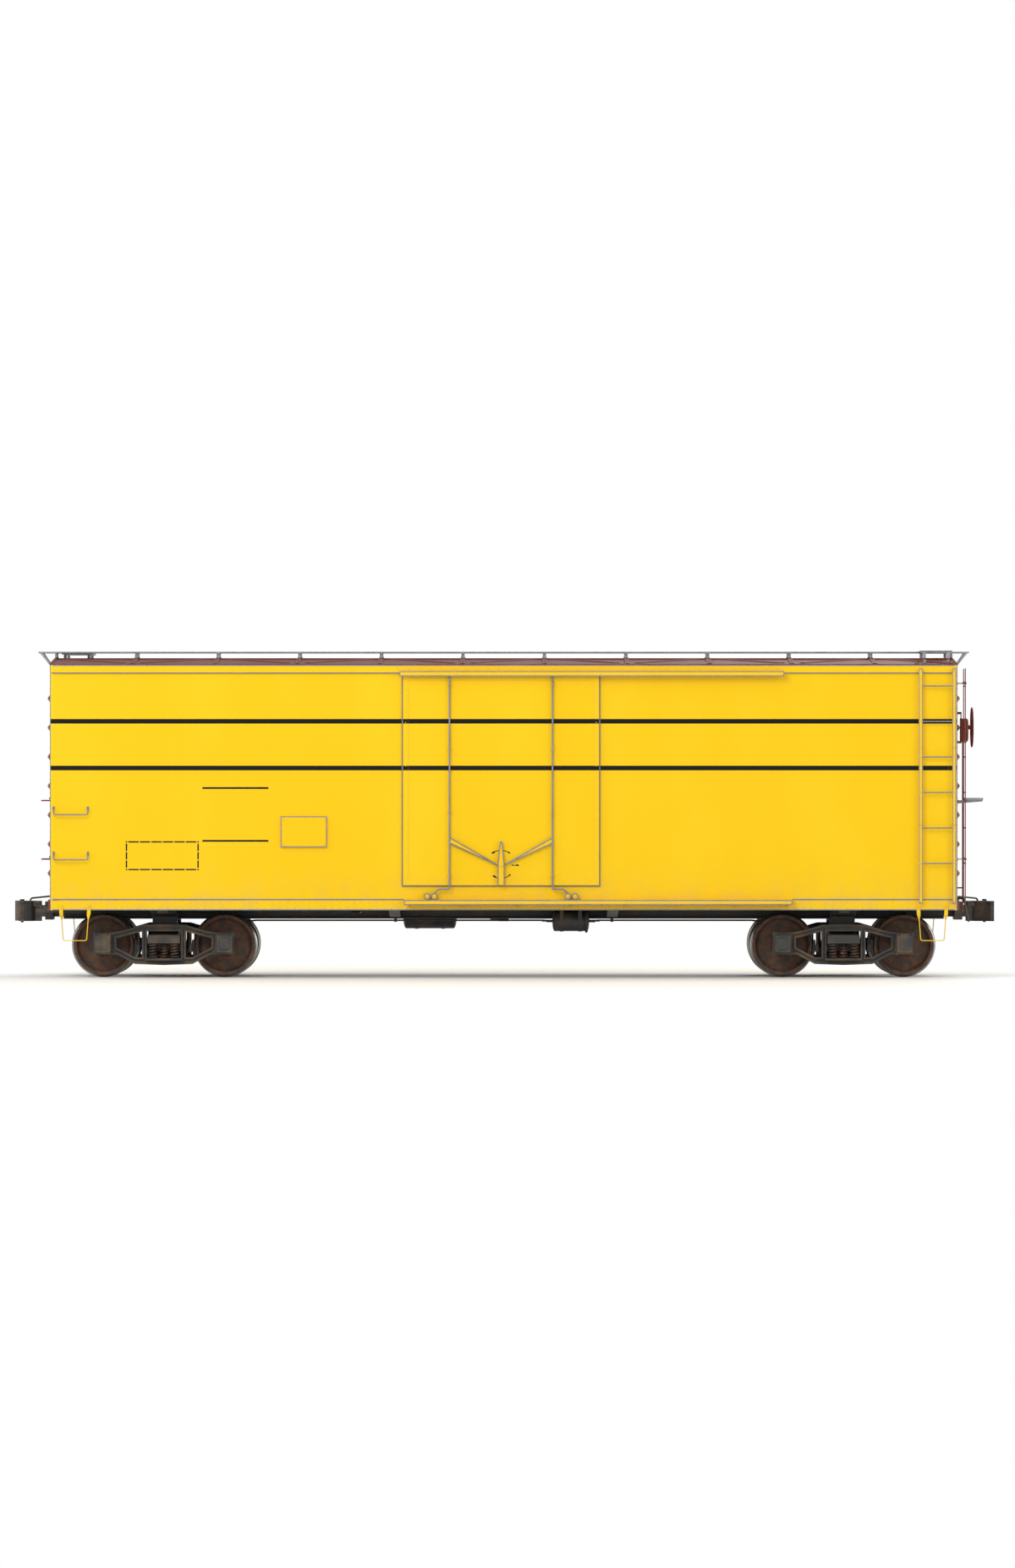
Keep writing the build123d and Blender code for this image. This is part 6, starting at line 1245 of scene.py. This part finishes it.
# %% Tanks and pipes
FLOOR_FOOT = low("floor", 2)
TANK_Y, RESERVOIR_Z, TANK_RADIUS, TANK_DOME = 0.680, RAIL_TOP + 0.815, 0.195, 0.048
TANK_X, CYLINDER_X = (-1.360, -0.700), (0.700, 1.150)
CYLINDER_Y, CYLINDER_Z, CYLINDER_RADIUS, CYLINDER_DOME = -0.660, RAIL_TOP + 0.746, 0.140, 0.030
PUSH_REACH, HEAD_BOLTS, HEAD_BOLT_CIRCLE = 0.112, 12, 0.150
BAND_HALF, BAND_INSET = 25 * MM, 0.22
PIPE_Y, PIPE_Z, BRANCH_X, PIPE_RADIUS, PIPE_BEND = 0.330, RAIL_TOP + 0.878, -0.300, 15 * MM, 0.045
PIPE_SUNK, BRANCH_TURN_Y, VALVE_Y, SUPPLY_Y = 0.010, 0.465, 0.600, 0.860
SUPPLY_START_Y, SUPPLY_X, SUPPLY_END_X, SUPPLY_HEIGHTS = 0.760, (0.030, -0.480), -0.665, (0.800, 0.840)
# Profiles turned round a pipe or a drum: distance along it and radius, in millimetres.
HEAD_FLANGE = np.array([(-26, 120), (-26, 158), (-22, 162), (-4, 162), (0, 158), (0, 120)]) * MM
TEE = np.array([(-38, 24), (-38, 29), (-30, 29), (-29, 26), (29, 26), (30, 29), (38, 29), (38, 24)]) * MM


def drum(x_ends, y, z, radius, dome):
    """A shell with a head at each end that is a quarter ellipse, dome deep."""
    turn = np.radians([8, 25, 42, 60, 76, 90])
    head = np.stack([-dome * np.cos(turn), radius * np.sin(turn)], axis=1)
    profile = np.concatenate([head, (head * (-1, 1))[::-1] + (x_ends[1] - x_ends[0], 0)])
    return turned(profile, (x_ends[0], y, z), B_WAY, 48)


def band(x, y, z, radius, metal=6 * MM):
    """A band under a drum and up its sides to the floor, thickened outwards by the metal."""
    turn = np.radians(np.linspace(180, 360, 19))
    out = np.stack([0 * turn, np.cos(turn), np.sin(turn)], axis=1)
    out = np.concatenate([out[:1], out, out[-1:]])
    path = np.array([x, y, z]) + radius * out
    path[[0, -1], 2] = FLOOR_FOOT
    return strap(path, BAND_HALF, B_WAY, out, metal)


def hung_drum(x_ends, y, z, radius, dome):
    """A drum and its two bands, each a little over a fifth of the length from its end."""
    inset = BAND_INSET * (x_ends[1] - x_ends[0])
    bands = [band(x, y, z, radius) for x in (x_ends[0] + inset, x_ends[1] - inset)]
    return [drum(x_ends, y, z, radius, dome)] + bands


cylinder = hung_drum(CYLINDER_X, CYLINDER_Y, CYLINDER_Z, CYLINDER_RADIUS, CYLINDER_DOME)
cylinder.append(turned(HEAD_FLANGE, (CYLINDER_X[1], CYLINDER_Y, CYLINDER_Z), B_WAY, 48, ring=True))
turn = full_turn(HEAD_BOLTS) + np.radians(15)
around = np.stack([0 * turn, np.cos(turn), np.sin(turn)], axis=1)
spots = np.array([CYLINDER_X[1], CYLINDER_Y, CYLINDER_Z]) + HEAD_BOLT_CIRCLE * around
cylinder.append(stamped(bolt(B_WAY, 16 * MM, 10 * MM), spots))
for start, reach, radius in ((CYLINDER_X[1], PUSH_REACH, 20 * MM), (CYLINDER_X[0], -PUSH_REACH, 18 * MM)):
    cylinder.append(tube([(x, CYLINDER_Y, CYLINDER_Z) for x in (start, start + reach)], radius, 16))
reservoir = hung_drum(TANK_X, TANK_Y, RESERVOIR_Z, TANK_RADIUS, TANK_DOME)
branch = [(BRANCH_X, PIPE_Y - PIPE_SUNK, PIPE_Z), (BRANCH_X, BRANCH_TURN_Y, PIPE_Z)]
branch += [(0, BRANCH_TURN_Y, PIPE_Z), (0, VALVE_Y, PIPE_Z)]
(valve_x, tank_side_x), (valve_z, tank_z) = SUPPLY_X, SUPPLY_HEIGHTS
supply = [(valve_x, SUPPLY_START_Y, valve_z), (valve_x, SUPPLY_Y, valve_z), (tank_side_x, SUPPLY_Y, tank_z)]
supply += [(tank_side_x, TANK_Y, tank_z), (SUPPLY_END_X, TANK_Y, tank_z)]
pipes = [tube(rounded(path, PIPE_BEND), PIPE_RADIUS, 12) for path in (branch, supply)]
pipes.append(turned(TEE, (BRANCH_X, PIPE_Y, PIPE_Z), B_WAY, 20, ring=True))
for name, shapes, stands_for in (
    ("brake_cylinder_drum", cylinder, ("brake_cylinder",)),
    ("reservoir_drum", reservoir, ("air_reservoir",)),
    ("branch_pipes", pipes, ()),
):
    make_piece(name, shapes, underframe_black, stands_for=stands_for)
print("tank and pipe triangles", made_triangles["reservoir_drum"] + made_triangles["brake_cylinder_drum"])

# %% [markdown]
# An uncoupling rod is one round bar. It hangs down as a grip at the car's corner, runs level on two lugs
# of the end, and reaches over the coupler to its lock. Every bend is rounded in the same way, so the
# whole rod is a short list of corners.

# %% Uncoupling rods
ROD_X, ROD_Z, ROD_END_Y, ROD_TURN_Y = end_x + 0.092, wall_foot + 0.026, -1.340, -0.150
ROD_GRIP, LIFTER_X, LIFTER_Y, LIFTER_RISE = (0.070, 0.330), 6.571, -0.060, (0.034, -0.010)
LIFT_RADIUS, LIFT_BEND, LUG_HALF, LUG_Y = 12.5 * MM, 0.032, 12 * MM, (ROD_END_Y + 0.100, -0.420)
LUG_FOOT, LUG_NOSE, LUG_TOP = ROD_Z - 0.026, ROD_Z - 0.014, ROD_Z + 0.004
lock_z = high("couplers", 2)
corners = [(ROD_X + ROD_GRIP[0], ROD_END_Y, ROD_Z - ROD_GRIP[1])]
corners += [(ROD_X, ROD_END_Y, ROD_Z), (ROD_X, ROD_TURN_Y, ROD_Z)]
corners += [(LIFTER_X, LIFTER_Y, lock_z + rise) for rise in LIFTER_RISE]
uncoupling = [tube(rounded(corners, LIFT_BEND), LIFT_RADIUS, 12)]
lug = [(end_x, LUG_FOOT), (ROD_X - 6 * MM, LUG_FOOT), (ROD_X + 8 * MM, LUG_NOSE)]
lug += [(ROD_X, LUG_TOP), (end_x, LUG_TOP)]
uncoupling += [cut_plate(lug, 1, y - LUG_HALF, y + LUG_HALF) for y in LUG_Y]
rods = both_hands(uncoupling)
make_piece("uncoupling_rods", rods, underframe_black, stands_for=("cut_levers",))
print("uncoupling rod triangles", made_triangles["uncoupling_rods"])

# %% [markdown]
# The hand brake is a geared box with a dished wheel. Its cover is pressed: a rounded outline that shrinks
# towards the front. The rim is a ring of oval section, and a rod runs down to the bell crank under the car.

# %% Hand brake
BRAKE_Y, BRAKE_Z, BRAKE_WHEEL_X, BRAKE_WHEEL_RADIUS = -0.560, RAIL_TOP + 3.420, end_x + 0.250, 0.2794
COVER_HALVES, COVER_DROP, COVER_POWER = (0.120, 0.165), 0.0396, 2 / 5
RIM_HALVES, RIM_INSET, SPOKE_REACH, SPOKE_RADII = (11 * MM, 13 * MM), 0.013, (0.03, 0.14, 0.268), (11, 8, 9)
BRACKET_HALVES, BRACKET_REACH, FLAT_HALF, HEAD_SPREAD = (0.060, 16 * MM), 12 * MM, 0.095, 0.075
FLAT_RISE, BACK_HALF, PLATE_METAL, COVER_BACK = 20 * MM, 60 * MM, 8 * MM, 0.160
BRAKE_ROD_SIDE, BRAKE_ROD_OUT, BRAKE_ROD_DROP, BRAKE_ROD_RADIUS = 0.060, 0.030, 0.195, 10 * MM
BELL_FOOT, GUIDE_HALF, GUIDE_DEPTH, GUIDE_REACH = 0.040, 18 * MM, 10 * MM, 16 * MM
brake_back = BRAKE_WHEEL_X - COVER_BACK
# Stations of the cover: millimetres out from its back, and the share of its outline there.
COVER_STATIONS = np.array([(0, 1.0), (78, 1.0), (92, 0.975), (102, 0.90), (108, 0.78), (110, 0.5)]) * (MM, 1)
WHEEL_HUB = np.array([(-55, 30), (-8, 30), (-4, 40), (10, 40), (16, 34), (16, 12)]) * MM


def pressed_cover():
    """Rounded rectangles in the YZ plane at growing x, each smaller than the last near the front."""
    wide, tall = rounded_square(40, COVER_POWER)
    out, share = COVER_STATIONS[:, :1], COVER_STATIONS[:, 1:]
    y = BRAKE_Y + share * COVER_HALVES[0] * wide
    z = BRAKE_Z - COVER_DROP + share * COVER_HALVES[1] * tall
    return closed_grid(np.stack([brake_back + out + 0 * y, y, z], axis=2))


def shelf(x_end, z, half, y_ends):
    """A level plate from the end sheet out to x_end, half of its thickness to each side of the height z."""
    outline = [(end_x, z - half), (x_end, z - half), (x_end, z + half), (end_x, z + half)]
    return cut_plate(outline, 1, *y_ends)


def brake_gear():
    """Cover, wheel, brackets to the sheet between the ribs, and the rod to the foot."""
    turn, centre = full_turn(10), np.array([BRAKE_WHEEL_X, BRAKE_Y, BRAKE_Z])
    rim_radius = BRAKE_WHEEL_RADIUS - RIM_INSET + RIM_HALVES[1] * np.sin(turn)
    rim = np.stack([RIM_HALVES[0] * np.cos(turn), rim_radius], axis=1)
    shapes = [pressed_cover(), turned(rim, centre, B_WAY, 56, ring=True)]
    shapes.append(turned(WHEEL_HUB, centre, B_WAY, 24))
    shapes.append(stamped(bolt(B_WAY, 30 * MM, 9 * MM), [centre + (7 * MM, 0, 0)]))
    for angle in np.radians(30) + full_turn(6):
        spoke = np.outer(SPOKE_REACH, (0, np.cos(angle), np.sin(angle)))
        shapes.append(tube(centre + spoke, np.array(SPOKE_RADII) * MM, 8))
    brackets, (half_width, half_depth) = (rib_gap(5), rib_gap(6)), BRACKET_HALVES
    for z in brackets:
        y_ends = (BRAKE_Y - half_width, BRAKE_Y + half_width)
        shapes.append(shelf(brake_back + BRACKET_REACH, z, half_depth, y_ends))
        flat = [(end_x, BRAKE_Y + reach, z) for reach in (-FLAT_HALF, FLAT_HALF)]
        shapes.append(strap(flat, FLAT_RISE, UP, B_WAY, PLATE_METAL))
        heads = [(end_x, BRAKE_Y + shift, z) for shift in (-HEAD_SPREAD, HEAD_SPREAD)]
        shapes.append(stamped(bolt(B_WAY, 20 * MM, 18 * MM), heads))
    back_x, low_z, high_z = brake_back + 6 * MM, brackets[0] - half_depth, brackets[1] + half_depth
    back = [(back_x, BRAKE_Y, z) for z in (low_z, high_z)]
    shapes.append(strap(back, BACK_HALF, FAR, B_WAY, PLATE_METAL))
    rod_x, rod_at = brake_back + BRAKE_ROD_OUT, BRAKE_Y - BRAKE_ROD_SIDE
    rod = [(rod_x, rod_at, z) for z in (BRAKE_Z - BRAKE_ROD_DROP, sill_foot - BELL_FOOT)]
    shapes.append(tube(rod, BRAKE_ROD_RADIUS, 10))
    guide_ends = (rod_at - GUIDE_HALF, rod_at + GUIDE_HALF)
    shapes.append(shelf(rod_x + GUIDE_REACH, rib_gap(0), GUIDE_DEPTH, guide_ends))
    return shapes


make_piece("brake_wheel_and_gear", brake_gear(), red_oxide, stands_for=("hand_brake",))
print("hand brake triangles", made_triangles["brake_wheel_and_gear"])

# %% [markdown]
# The drawing is a flat side view, so the camera stands far off, level, square to the side, behind a very
# long lens. The drawing has no light of its own, so the light is soft and almost even: a white surround, one
# broad lamp high on the left that adds a quarter, and four weak ones that shape the other sides and the ends.
# The floor is pale matt paint near the car. Further out it turns into light of the surround's own strength,
# so that no horizon cuts across the white ground of the drawing. Only the distance on the floor decides.

# %% Floor
SURROUND, FADE_START, FADE_END, FLOOR_REACH = 1.0, 9.0, 26.0, 400.0


def fading_floor():
    """A square of pale paint whose finish turns from paint to even light with the distance from the car."""
    corners = [(-1, -1, 0), (1, -1, 0), (1, 1, 0), (-1, 1, 0)]
    mesh = bpy.data.meshes.new("studio_floor")
    mesh.from_pydata((np.array(corners, dtype=float) * FLOOR_REACH).tolist(), [], [(0, 1, 2, 3)])
    floor = bpy.data.objects.new("studio_floor", mesh)
    bpy.context.scene.collection.objects.link(floor)
    material, tree, shader, place = new_finish("floor_paint", Base_Color=linear("#DADAD8"), Roughness=0.9)
    away = add(tree, "VectorMath", {0: place}, out="Value", operation="LENGTH")
    span = {"Value": away, "From Min": FADE_START, "From Max": FADE_END}
    share = add(tree, "MapRange", span, interpolation_type="SMOOTHSTEP")
    glow = add(tree, "Emission", {"Color": linear("#FFFFFF"), "Strength": SURROUND})
    blend = add(tree, "MixShader", {0: share, 1: shader.outputs[0], 2: glow})
    output = next(node for node in tree.nodes if node.type == "OUTPUT_MATERIAL")
    tree.links.new(blend, output.inputs["Surface"])
    mesh.materials.append(material)


fading_floor()
print("floor fades from", FADE_START, "to", FADE_END, "m")

# %% Light
LAMPS = (
    ("key", (-14, -30, 22), (0, 0, 2), 14, 5200),
    ("fill", (26, -24, 10), (0, 0, 2), 14, 1500),
    ("back", (10, 30, 20), (0, 0, 2), 14, 4500),
    ("b_end", (32, 9, 20), (6, 0, 2), 10, 3000),
    ("a_end", (-32, -9, 20), (-6, 0, 2), 10, 3000),
)


def area_light(name, place, target, size, power):
    """A square soft light aimed at a point."""
    data = bpy.data.lights.new(name, "AREA")
    data.shape, data.size, data.energy = "SQUARE", size, power
    lamp = bpy.data.objects.new(name, data)
    lamp.location = place
    lamp.rotation_mode = "QUATERNION"
    lamp.rotation_quaternion = (Vector(target) - Vector(place)).to_track_quat("-Z", "Y")
    bpy.context.scene.collection.objects.link(lamp)


for lamp in LAMPS:
    area_light(*lamp)
world = bpy.data.worlds.new("surround")
world.use_nodes = True
surround = world.node_tree.nodes["Background"].inputs
surround["Color"].default_value = linear("#FFFFFF")
surround["Strength"].default_value = SURROUND
bpy.context.scene.world = world
bpy.context.scene.view_settings.view_transform = "Standard"
print("lamps", [lamp[0] for lamp in LAMPS])

# %% Camera
FRAME_WIDTH = 13.90
IMAGE_WIDTH, IMAGE_HEIGHT = 1200, 1854
CAMERA_DISTANCE = 110.0
DRAWING_MM_PER_PIXEL = 11.04
CAR_MIDDLE_PIXEL, EAVES_PIXEL, EAVES_HEIGHT = 595.25, 779.3, 4.2672
middle_x = (IMAGE_WIDTH / 2 - CAR_MIDDLE_PIXEL) * DRAWING_MM_PER_PIXEL * MM
middle_z = RAIL_TOP + EAVES_HEIGHT - (IMAGE_HEIGHT / 2 - EAVES_PIXEL) * DRAWING_MM_PER_PIXEL * MM
camera_data = bpy.data.cameras.new("camera")
camera_data.lens = CAMERA_DISTANCE * camera_data.sensor_width * IMAGE_WIDTH / IMAGE_HEIGHT / FRAME_WIDTH
camera_data.clip_end = 1000
camera = bpy.data.objects.new("camera", camera_data)
camera.location = (middle_x, -side_y - CAMERA_DISTANCE, middle_z)
camera.rotation_euler = (np.pi / 2, 0, 0)
bpy.context.scene.collection.objects.link(camera)
bpy.context.scene.camera = camera
print("lens", round(camera_data.lens, 1), "camera at", [round(v, 2) for v in camera.location])

# %% [markdown]
# Last, the number of triangles that were added.

# %% Close
print("added triangles", sum(made_triangles.values()), "in", len(made_triangles), "pieces")
